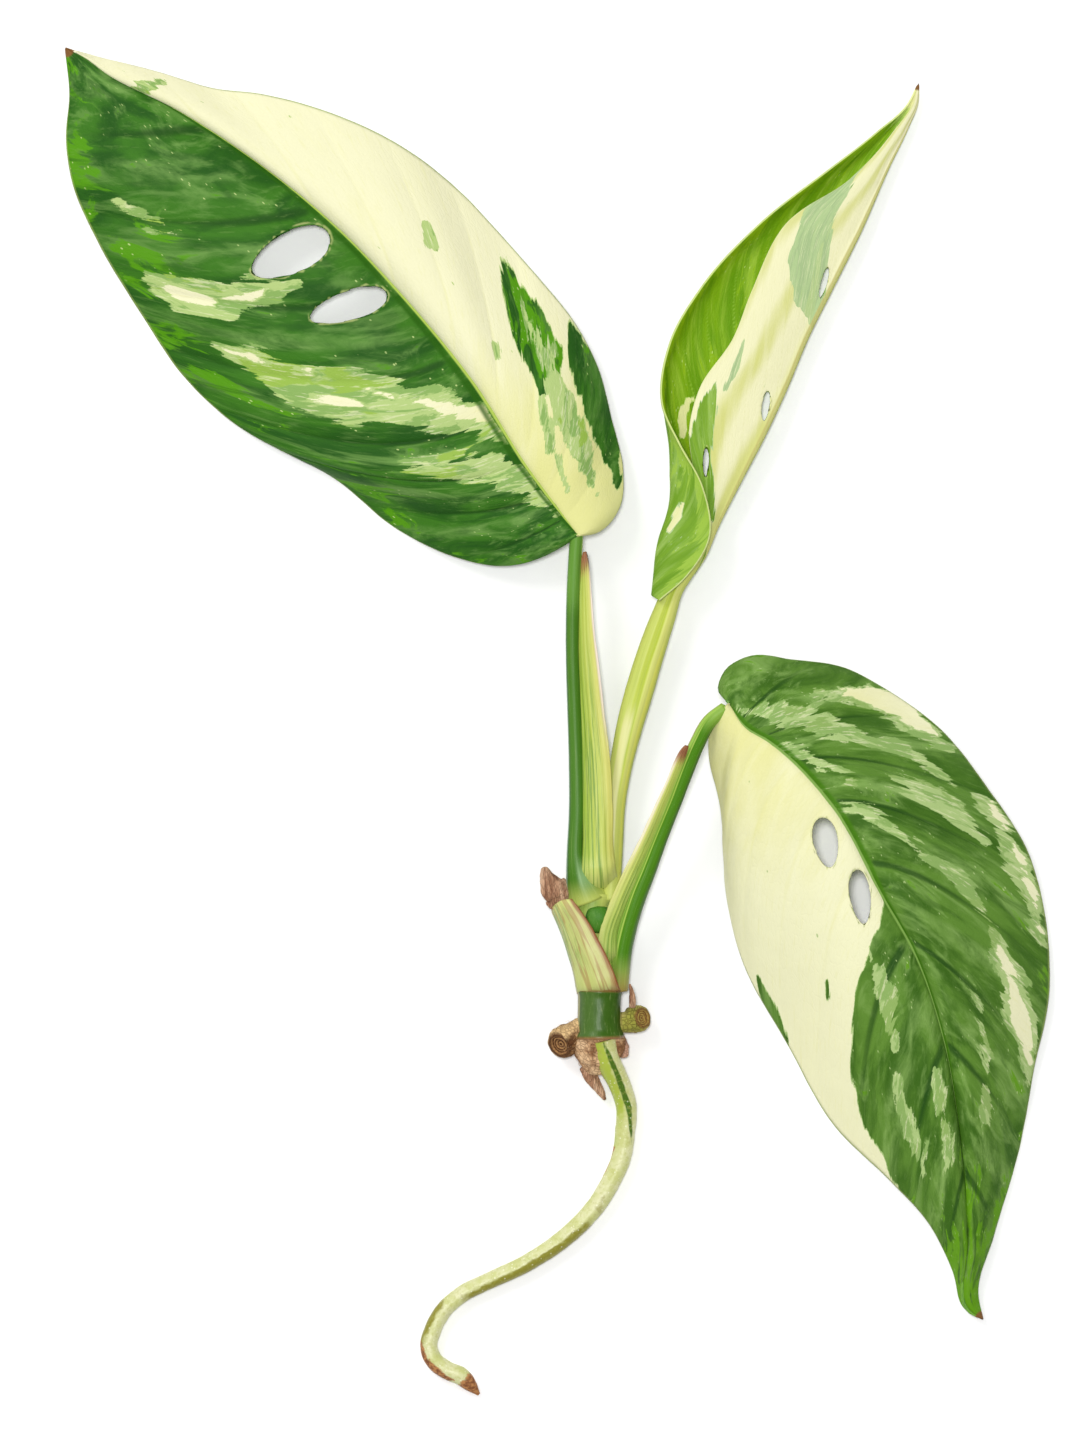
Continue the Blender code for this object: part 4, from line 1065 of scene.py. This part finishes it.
def paint_middle(xy, v, s):
    x, y = xy.T
    near_half, wrap = v > 0, v < -0.66
    low_left = clamp((33.6 - x) / 1.5 + 0.5) * clamp((68.0 - y) / 6.0)
    pale_cut = stroke_field(xy, MIDDLE_PALE, 1.0)
    near_cream = 1.0 - np.maximum(low_left, stroke_field(xy, MIDDLE_GREEN, 1.4))
    far_cream = stroke_field(xy, MIDDLE_FAR_CREAM, 1.4)
    wrap_cream = stroke_field(xy, MIDDLE_WRAP_CREAM, 1.4)
    cream = np.where(near_half, near_cream, np.where(wrap, wrap_cream, far_cream))
    cream = np.maximum(cream, clamp((s - 0.93) * 20))
    wrap_pale = np.where(wrap, 0.75 * stroke_field(xy, MIDDLE_WRAP_CREAM, 3.2), 0.0)
    far_pale = np.maximum(clamp((s - 0.86) * 8), wrap_pale)
    far_bright = np.where(wrap, 0.15 + np.clip((-v - 0.84) * 6, 0, 0.7), 0.35)
    # deeper cream towards the base, and painted shade of soft folds in sine bands across the near half
    near_deep_cream_and_fold_shade = np.clip(1.0 - (y - 34.0) / 50.0, 0.15, 1) + 0.55 * np.sin(11 * v + 5 * s)
    fields = {
        "cream": np.where(near_half, np.minimum(cream, 1.0 - pale_cut), cream),
        "pale": np.where(near_half, clamp(2 * pale_cut), far_pale),
        "bright": np.where(near_half, 0.0, far_bright),
        "deep_cream_and_fold_shade": np.where(near_half, near_deep_cream_and_fold_shade, 0.4),
        "shade": np.where(near_half, hump(v * 24.0 - 0.55, 0.28), 0.0),
    }
    return fields | shared_fields(xy, v, s, 24.0, 12.0, MIDDLE_HOLES, (81.9, 144.8), ROLLED_SWEEP)


def build_blades():
    under = blade_material("leaf_under", UNDER_TONES)
    left = flat_blade(
        "leaf_blade_left_tissue", LEFT_MIDRIB, LEFT_GREEN_MARGIN, LEFT_CREAM_MARGIN, LEFT_DOME,
        LEFT_HOLES, TISSUE_VEINS, paint_left, 1.0,
    )
    upper = blade_material("leaf_upper", UPPER_TONES)
    finish_piece(left, "leaf_blade_left", "blade_left", upper, under)
    right = flat_blade(
        "leaf_blade_right_tissue", RIGHT_MIDRIB, RIGHT_GREEN_MARGIN, RIGHT_CREAM_MARGIN, RIGHT_DOME,
        RIGHT_HOLES, TISSUE_VEINS, paint_right, 2.0,
    )
    right_upper = blade_material("leaf_upper_deep", RIGHT_TONES)
    finish_piece(right, "leaf_blade_right", "blade_right", right_upper, under)
    middle = rolled_blade(
        "leaf_blade_middle_tissue", MIDDLE_STATIONS, MIDDLE_HOLES, 10, paint_middle, 3.0,
    )
    lime = blade_material("leaf_bright_face", LIME_TONES)
    pale = blade_material("leaf_pale_under", NEAR_TONES)
    finish_piece(middle, "leaf_blade_middle", "blade_middle", lime, pale)


# ================================================================ tissue of stalks, sheaths, stem and roots

ALL_ROUND = 0.60  # a line this wide covers its whole stalk


def stalk_material(name, under, side, top, *lines, grain=0.35, gloss=0.42):
    """Smooth stalk tissue with fine streaks along it, in an under, a side and a top colour: painted shade
    beneath and on the sides, and painted light on the top.

    Each line is a place round the stalk (0.5 is the top), a half width, a colour, a strength, and the
    stretch of the stalk that it covers."""
    m = Shading(name, roughness=gloss, specular=0.20)
    along = m.part(1)
    streaks = m.streaks(46.0, 4.0, 4.0, 0.6)
    slow = m.streaks(5.0, 4.0, 2.0, 0.5)
    fine = m.noise(m.place, 1400.0, 2.0, 0.6)
    round_it = m.plus(m.part(0), m.swing(slow, 0.05))
    painted_shade_off_top = m.distance(round_it, 0.5)
    # painted shade: the top colour fades to the side and under colours round the stalk
    tissue = m.layers(srgb(*top), (srgb(*side), painted_shade_off_top, 0.10, 0.22), (srgb(*under), painted_shade_off_top, 0.26, 0.40))
    for place, width, colour, strength, low, high in lines:
        stretch = m.times(m.step(along, low - 0.04, low + 0.04), m.step(along, high + 0.04, high - 0.04))
        away = m.distance(round_it, place)
        tissue = m.layers(tissue, (srgb(*colour), away, width, width * 0.45, m.times(stretch, strength)))
    darker = m.mix(1.0, tissue, (0.62, 0.68, 0.55, 1.0), "MULTIPLY")
    tissue = m.layers(tissue, (darker, streaks, 0.48, 0.34, grain))
    paler = m.mix(0.35, tissue, srgb(226, 232, 160))
    tissue = m.layers(tissue, (paler, streaks, 0.55, 0.72, grain))
    tissue = m.mix(m.times(m.specks(60.0, 130.0, 0.12, 0.05), 0.30), tissue, srgb(232, 238, 190))
    return m.finish(tissue, m.plus(streaks, m.times(fine, 0.3)), 0.25, 0.0002)


def sheath_material(
    name, inner, middle, outer, stripe, edge, edge_from, edge_rise=(0.35, 0.6), dry_from=2.0,
    low_green=0.0, brown_lines=0.0,
):
    """Thin sheath tissue, streaked along its length, that dries brown at its free edge and its tip."""
    inner, middle, outer, stripe, edge = (srgb(*colour) for colour in (inner, middle, outer, stripe, edge))
    m = Shading(name, roughness=0.42, specular=0.4)
    across, along = m.part(0), m.part(1)
    streaks = m.streaks(16.0, 2.2, 4.0, 0.62)
    fine = m.streaks(60.0, 5.0, 3.0, 0.6)
    wander = m.plus(across, m.swing(m.streaks(3.0, 3.0, 2.0, 0.5), 0.25))
    fading = m.times(m.times(m.step(wander, 0.80, 0.55), m.step(along, 0.80, 0.45)), 0.80)
    tissue = m.layers(
        inner,
        (middle, wander, 0.10, 0.50),
        (outer, wander, 0.55, 0.95),
        (srgb(204, 210, 120), along, 0.12, 0.02, 0.7),
        (stripe, streaks, 0.49, 0.56, fading),
        (m.mix(0.5, middle, srgb(226, 226, 160)), fine, 0.45, 0.62, 0.35),
    )
    if low_green:
        tissue = m.layers(tissue, (stripe, along, 0.42, 0.05, low_green))
    if brown_lines:
        cuts = m.streaks(5.0, 0.6, 3.0, 0.45)
        tissue = m.layers(tissue, (srgb(150, 96, 58), m.distance(cuts, 0.5), 0.030, 0.008, brown_lines))
    rim = m.plus(across, m.swing(fine, 0.10))
    tissue = m.layers(tissue, (edge, rim, edge_from, edge_from + 0.10, m.step(along, *edge_rise)))
    dry = m.plus(along, m.swing(fine, 0.12))
    brown = m.layers(srgb(112, 62, 34), (srgb(176, 120, 78), fine, 0.40, 0.62))
    tissue = m.layers(tissue, (brown, dry, dry_from - 0.02, dry_from + 0.05))
    return m.finish(tissue, m.plus(streaks, fine), 0.35, 0.00025)


def cork_material(name, dark, middle, light, grain, stretch=(1.0, 1.0, 1.0), olive=None, ringed=False):
    """Dry rough bark: broken plates, dark cracks and pale worn ridges, and rings on a cut end."""
    dark, middle, light = (srgb(*colour) for colour in (dark, middle, light))
    m = Shading(name, roughness=0.82, specular=0.2)
    place = m.scaled(m.place, *stretch)
    rough = m.noise(place, grain, 6.0, 0.65)
    broad = m.noise(place, grain * 0.28, 3.0, 0.5)
    cracks = m.cells(place, grain * 3.4, "DISTANCE_TO_EDGE")
    ridges = m.plus(broad, m.times(rough, 0.5))
    tissue = m.layers(dark, (middle, rough, 0.38, 0.60), (light, ridges, 0.70, 0.92))
    if olive:
        tissue = m.layers(tissue, (srgb(*olive), broad, 0.50, 0.66))
    tissue = m.layers(tissue, (dark, cracks, 0.08, 0.0, 0.30))
    if ringed:
        along = m.part(1)
        rings = m.math("SINE", m.times(along, 110.0))
        end_face = m.layers(dark, (middle, rings, -0.5, 0.5))
        tissue = m.layers(
            tissue, (end_face, along, 0.985, 1.0), (dark, m.distance(along, 1.0), 0.06, 0.02, 0.75)
        )
    return m.finish(tissue, m.plus(rough, m.times(m.step(cracks, 0.0, 0.15), 0.5)), 0.8, 0.0006)


def root_material():
    """The long root: cream and pale green, olive beneath, a dark stripe at its start and a dry brown cap."""
    m = Shading("living_root", roughness=0.40, specular=0.3)
    grain = m.noise(m.place, 1300.0, 4.0, 0.6)
    patches = m.noise(m.place, 260.0, 3.0, 0.6)
    soft = m.swing(patches, 1.3)
    cap = m.plus(m.attribute("brown"), m.swing(grain, 0.6))
    cap_tone = m.layers(srgb(122, 74, 40), (srgb(176, 122, 72), grain, 0.40, 0.60))
    stripe = m.plus(m.attribute("stripe"), m.times(soft, 0.4))
    tissue = m.layers(
        srgb(192, 196, 126),
        (srgb(212, 212, 164), patches, 0.36, 0.66),
        (srgb(164, 180, 64), m.plus(m.attribute("lime"), soft), 0.35, 0.75),
        (srgb(136, 132, 44), m.plus(m.attribute("olive"), soft), 0.22, 0.55),
        (srgb(70, 104, 16), stripe, 0.40, 0.60),
        (srgb(246, 246, 224), m.cells(m.place, 900.0), 0.20, 0.10, 0.45),
        (srgb(168, 168, 88), grain, 0.50, 0.36, 0.35),
        (cap_tone, cap, 0.40, 0.58),
    )
    m.set(m.shader.inputs["Roughness"], m.plus(m.times(m.attribute("brown"), 0.45), 0.32))
    return m.finish(tissue, m.plus(grain, m.times(patches, 0.6)), 0.35, 0.00035)


# ================================================================ stalks, sheaths, stem and roots


def add_stalk(node, layer, slot, material, stations, *shape, **sizes):
    """A round piece that is named after the node it replaces and its own layer."""
    finish_piece(stalk(f"{node}_{layer}", stations, *shape, **sizes), node, slot, material)


def add_sheath(node, slot, material, stations, *sizes, **more):
    finish_piece(sheath(f"{node}_skin", stations, *sizes, **more), node, slot, material)


def grooved(depth, place, width):
    """A stalk outline with a groove along it; place and width are degrees, and 90 is the top."""
    return lambda t, turn: 1 - depth * hump(np.degrees(turn) - place, width)


def ring_marks(arch, *marks):
    """A stem outline with raised rings: each mark is its place, width and height."""
    def shape(t, turn):
        place = t - arch * np.sin(turn)
        return 1 + sum(height * hump(place - at, width) for at, width, height in marks)
    return shape


def build_stalks():
    left = stalk_material(
        "left_stalk_skin", (44, 80, 28), (50, 94, 28), (64, 112, 20),
        (0.30, 0.035, (196, 208, 92), 0.9, 0.0, 1.0),
        (0.56, 0.10, (74, 120, 36), 0.8, 0.10, 1.0),
        # painted highlight: a grey-blue light along the left edge
        (0.74, 0.07, (150, 178, 160), 0.7, 0.0, 0.95),
        (0.50, ALL_ROUND, (186, 196, 96), 0.9, -0.2, 0.040),
        # painted highlight: a pale patch of light just above the collar
        (0.44, 0.10, (150, 186, 128), 0.7, 0.05, 0.10),
        (0.50, 0.50, (110, 158, 60), 0.5, 0.80, 1.2),
    )
    add_stalk(
        "petiole_left", "skin", "stalk_left", left, longer(LEFT_PETIOLE, 1.6, 2.2),
        grooved(0.05, 40.0, 22.0), bump=0.03, seed=1.0,
    )
    middle = stalk_material(
        "middle_stalk_skin", (138, 154, 56), (176, 186, 78), (190, 198, 100),
        (0.50, 0.075, (186, 200, 76), 0.85, 0.30, 1.0),
        (0.485, 0.030, (162, 178, 44), 0.75, 0.36, 0.96),
        (0.41, 0.06, (202, 204, 112), 0.7, 0.3, 1.0),
        (0.60, 0.06, (186, 198, 96), 0.7, 0.3, 1.0),
        (0.54, 0.075, (216, 214, 150), 0.85, 0.12, 0.50),
        (0.36, 0.04, (212, 212, 92), 0.7, 0.0, 0.7),
        grain=0.25,
    )
    add_stalk(
        "petiole_middle", "skin", "stalk_middle", middle,
        longer(MIDDLE_PETIOLE, 1.6) + [(30.2, 35.6, 6.2, 3.8, 3.2), (33.4, 41.0, 5.9, 2.4, 2.2)],
        lambda t, turn: 1 - 0.20 * clamp(3 * t - 0.9) * hump(np.degrees(turn) - 90, 13.0),
        bump=0.03, seed=2.0,
    )
    right = stalk_material(
        "right_stalk_skin", (50, 90, 26), (60, 110, 14), (70, 124, 10),
        (0.30, 0.10, (72, 106, 50), 0.7, 0.0, 0.9),
        (0.57, 0.020, (160, 188, 82), 0.9, 0.12, 0.92),
        (0.66, 0.09, (160, 196, 84), 0.75, 0.10, 1.0),
        (0.72, 0.03, (188, 140, 112), 0.8, 0.80, 1.0),
        (0.50, ALL_ROUND, (150, 92, 46), 0.9, -0.2, 0.05),
        (0.50, ALL_ROUND, (164, 182, 90), 0.5, 0.0, 0.10),
        (0.50, ALL_ROUND, (150, 186, 74), 0.6, 0.92, 1.2),
    )
    add_stalk(
        "petiole_right", "skin", "stalk_right", right, longer(RIGHT_PETIOLE, 0.8, 1.6),
        grooved(0.06, 118.0, 14.0), bump=0.03, seed=3.0,
    )


def build_sheaths():
    left = sheath_material(
        "left_sheath_skin", (150, 178, 56), (176, 190, 74), (204, 200, 100), (84, 130, 30),
        (238, 222, 206), 0.84, dry_from=0.93,
    )
    add_sheath(
        "petiole_sheath_left", "sheath", left, tucked(LEFT_SHEATH, -1.0), 0.42, 0.12, seed=4.0, sink=4.0,
    )
    right = sheath_material(
        "right_sheath_skin", (166, 192, 80), (180, 194, 84), (204, 204, 116), (104, 146, 44),
        (234, 226, 190), 0.80, dry_from=0.91, low_green=0.35,
    )
    add_sheath(
        "petiole_sheath_right", "sheath", right, tucked([RIGHT_SHEATH_FOOT, *RIGHT_SHEATH], 0.9),
        0.42, 0.15, seed=5.0, sink=3.0,
    )
    old = sheath_material(
        "old_sheath_skin", (110, 146, 58), (178, 186, 104), (188, 186, 116), (120, 148, 66),
        (140, 82, 44), 0.90, (-0.2, -0.1), dry_from=0.955, brown_lines=0.50,
    )
    add_sheath(
        "old_sheath", "old_sheath", old, longer_sheath(OLD_SHEATH, 1.2), 0.45, 0.10, columns=40,
        seed=6.0, tapered=False,
    )


def crumpled(t, turn):
    """The papery end of the old sheath: pleated, swollen half way and narrowing to its tip."""
    return (1 + 0.06 * np.sin(7 * turn + 3 * t)) * (1 + 0.16 * hump(t - 0.5, 0.12)) * (1 - 0.25 * t)


def build_dry_pieces():
    papery = cork_material(
        "papery_brown", (140, 98, 72), (190, 146, 114), (216, 180, 148), 300.0, (2.6, 0.5, 1.0),
    )
    add_stalk(
        "old_sheath_tip", "skin", "dry_sheath", papery, [(-1.9, -42.4, 7.0, 2.2, 1.8), *OLD_SHEATH_TIP],
        crumpled, step=0.22, caps=(0.5, 0.2), bump=0.16, bump_size=1.2, seed=7.0,
    )
    add_stalk(
        "dry_spike", "skin", "dry_sheath", papery, DRY_SPIKE, step=0.2, caps=(0.3, 0.2), sides=20,
        bump=0.12, bump_size=0.9, seed=8.0,
    )
    add_stalk(
        "dry_scale", "skin", "dry_sheath", papery, DRY_SCALE, lambda t, turn: 1 + 0.06 * np.sin(5 * turn),
        step=0.2, caps=(0.4, 0.2), sides=32, bump=0.15, bump_size=1.2, seed=9.0,
    )


def build_stem():
    upper = stalk_material(
        "upper_stem_skin", (66, 108, 40), (124, 154, 66), (184, 196, 98),
        (0.46, 0.14, (120, 160, 66), 0.6, 0.02, 0.30),
        (0.74, 0.07, (70, 120, 40), 0.85, 0.35, 1.0),
        (0.50, ALL_ROUND, (196, 204, 106), 0.8, -0.2, 0.08),
    )
    add_stalk(
        "stem_upper", "skin", "green_stem", upper, longer(STEM_UPPER, 2.0, 0.8),
        ring_marks(0.0, (0.97, 0.02, 0.03)), sides=64, bump=0.06, seed=10.0,
    )
    lower = stalk_material(
        "lower_stem_skin", (32, 58, 10), (42, 74, 10), (52, 88, 12),
        # painted highlight: a soft broad light along the stem
        (0.40, 0.12, (112, 138, 80), 0.22, 0.06, 0.92),
        (0.29, 0.035, (176, 168, 122), 0.6, -0.2, 1.2),
        (0.50, 1.40, (150, 100, 62), 0.95, -0.2, 0.045),
        (0.50, 1.40, (146, 104, 66), 0.95, 0.93, 1.2),
        gloss=0.36,
    )
    add_stalk(
        "stem_lower", "skin", "green_stem", lower, longer(STEM_LOWER, 0.7, 0.7),
        ring_marks(0.02, (0.05, 0.06, 0.05), (0.92, 0.09, 0.09)), sides=72, step=0.3, caps=(0.35, 0.35),
        bump=0.08, seed=11.0,
    )
    bud = stalk_material(
        "bud_skin", (40, 90, 26), (46, 100, 22), (62, 118, 24),
        # painted highlight: a soft lighter band along the bud's top
        (0.60, 0.08, (84, 134, 50), 0.5, 0.2, 0.8),
        gloss=0.50,
    )
    add_stalk(
        "axillary_bud", "skin", "green_stem", bud, AXILLARY_BUD, grow=0.5, step=0.25, caps=(0.9, 0.7),
        sides=40, bump=0.05, seed=12.0,
    )


def build_roots():
    cork = cork_material("node_cork_bark", (132, 90, 56), (190, 144, 100), (224, 188, 146), 300.0)
    brown_bark = cork_material(
        "stub_bark", (92, 58, 30), (172, 128, 80), (218, 184, 132), 340.0, ringed=True,
    )
    olive_bark = cork_material(
        "olive_stub_bark", (128, 92, 46), (174, 148, 76), (208, 192, 124), 300.0,
        olive=(150, 148, 62), ringed=True,
    )
    pink_bark = cork_material("young_stub_bark", (128, 82, 60), (180, 128, 102), (206, 160, 134), 460.0)
    add_stalk(
        "node_cork", "body", "cork", cork, longer(NODE_CORK, 1.2),
        lambda t, turn: 1 + 0.05 * np.sin(5 * turn + 2 * t), sides=80, step=0.22, caps=(0.8, 1.0),
        bump=0.40, bump_size=2.2, seed=13.0,
    )
    rings = ring_marks(0.05, (0.25, 0.06, 0.06), (0.6, 0.05, 0.07), (0.85, 0.04, 0.05))
    for side, stations, bark, tip, dish, seed in (
        ("left", ROOT_STUB_LEFT, brown_bark, 1.3, 0.9, 14.0),
        ("right", ROOT_STUB_RIGHT, olive_bark, 1.3, 0.6, 15.0),
        ("small", ROOT_STUB_SMALL, pink_bark, 0.0, 0.0, 16.0),
    ):
        add_stalk(
            f"root_stub_{side}", "body", "root_stub", bark, tipped_up(longer(stations, 1.6), tip), rings,
            step=0.16, caps=(0.5, 0.5), bump=0.22, bump_size=1.3, seed=seed, dish=dish,
        )

    fibres = fibre_tree(cork)
    for node, slot, stations, seed in (
        ("node_cork", "cork", NODE_CORK, 3),
        ("root_stub_left", "root_stub", ROOT_STUB_LEFT, 4),
    ):
        obj = stalk(f"{node}_fibres", stations, grow=0.05, step=0.5, sides=24)
        fibres.run(obj, Density=0.9e6, Length=0.0007, Thickness=0.04, Seed=seed)
        finish_piece(obj, node, slot)

    line = smooth_line(AERIAL_ROOT, np.linspace(0.0, 1.0, 260))
    root = path_object("aerial_root_body", [(x, y, z, (w + h) / 4) for x, y, z, w, h in line])
    rib_tree(root_material(), 40).run(root, Roughness=0.00028, Grain=420.0)
    paint_root(root.data)
    finish_piece(root, "aerial_root", "root")


# Marks on the long root, as brush strokes: each point is x, y and half width.
ROOT_STRIPE = [[(10.4, -72.6, 0.3), (13.4, -79.5, 0.6), (16.2, -87.6, 0.7), (16.8, -95.5, 0.0)]]
ROOT_DRY_PATCH = [[(-31.2, -140.0, 0.5), (-30.2, -144.6, 1.0), (-26.0, -148.8, 1.3), (-23.5, -149.2, 0.4)]]
ROOT_PEELED_PATCH = [[(12.8, -96.5, 0.2), (10.8, -101.0, 0.5), (9.2, -104.5, 0.2)]]
OUTER_SIDE = (0.62, -0.78, 0.0)  # the way that the outside of the root's bend faces


def paint_root(mesh):
    """Paints the long root by how far along it a point is and which way the point faces."""
    count = len(mesh.vertices)
    reach, points, facing = np.zeros(count), np.zeros(count * 3), np.zeros(count * 3)
    mesh.attributes["reach"].data.foreach_get("value", reach)
    mesh.vertices.foreach_get("co", points)
    mesh.vertex_normals.foreach_get("vector", facing)
    xy = points.reshape(-1, 3)[:, :2] / MM
    facing = facing.reshape(-1, 3)
    outer = facing @ np.array(OUTER_SIDE)
    mid_run = hump(reach - 0.55, 0.16)
    late = hump(reach - 0.80, 0.06)
    dry = np.maximum(0.72 * stroke_field(xy, ROOT_DRY_PATCH, 0.8), stroke_field(xy, ROOT_PEELED_PATCH, 0.7))
    for name, values in {
        "olive": clamp(outer * 1.6 + 0.3) * mid_run + clamp(-outer * 1.3) * late * 0.8,
        "lime": clamp(1.2 - reach * 3.2) * clamp(0.65 - facing[:, 0]) + 0.35 * mid_run,
        "stripe": stroke_field(xy, ROOT_STRIPE, 0.9) * clamp(facing[:, 2] * 2),
        "brown": np.maximum(dry, clamp((reach - 0.935) * 26)),
    }.items():
        give_values(mesh, name, values)


# ================================================================ table, light and camera

VIEW_CENTRE = (-0.0033, -0.0005)
VIEW_HEIGHT = 0.3287
CAMERA_HEIGHT = 2.5
TABLE_REACH = 3.0
ROOM_LIGHT = 0.43


def build_stage():
    floor_mesh = bpy.data.meshes.new("table_top")
    corners = [(x * TABLE_REACH, y * TABLE_REACH, 0) for x, y in ((-1, -1), (1, -1), (1, 1), (-1, 1))]
    floor_mesh.from_pydata(corners, [], [(0, 1, 2, 3)])
    floor = new_object("table_top", floor_mesh)
    m = Shading("white_table", roughness=0.9, specular=0.1)
    grain = m.noise(m.place, 60.0, 3.0, 0.55)
    tone = m.layers(srgb(250, 250, 250), (srgb(253, 253, 253), grain, 0.3, 0.7))
    m.set(m.shader.inputs["Base Color"], tone)
    floor_mesh.materials.append(m.material)


def add_lamp(name, place, size, power):
    lamp = bpy.data.lights.new(name, "AREA")
    lamp.shape = "DISK"
    lamp.size = size
    lamp.energy = power
    obj = new_object(name, lamp)
    obj.location = place
    obj.rotation_euler = (-Vector(place)).to_track_quat("-Z", "Y").to_euler()


def build_light():
    world = bpy.data.worlds.new("studio")
    world.use_nodes = True
    background = world.node_tree.nodes["Background"]
    background.inputs[0].default_value = (1, 1, 1, 1)
    background.inputs[1].default_value = ROOM_LIGHT
    bpy.context.scene.world = world
    add_lamp("overhead_panel", (-0.06, 0.10, 2.3), 0.30, 32.5)
    add_lamp("soft_box", (-0.7, 0.8, 1.0), 0.6, 7.0)
    bpy.context.scene.view_settings.view_transform = "Standard"


def build_camera():
    data = bpy.data.cameras.new("camera")
    data.sensor_width = 36.0
    data.lens = data.sensor_width * CAMERA_HEIGHT / VIEW_HEIGHT
    data.clip_end = 20.0
    camera = new_object("camera", data)
    camera.location = (*VIEW_CENTRE, CAMERA_HEIGHT)
    bpy.context.scene.camera = camera


build_blades()
build_stalks()
build_sheaths()
build_dry_pieces()
build_stem()
build_roots()
build_stage()
build_light()
build_camera()
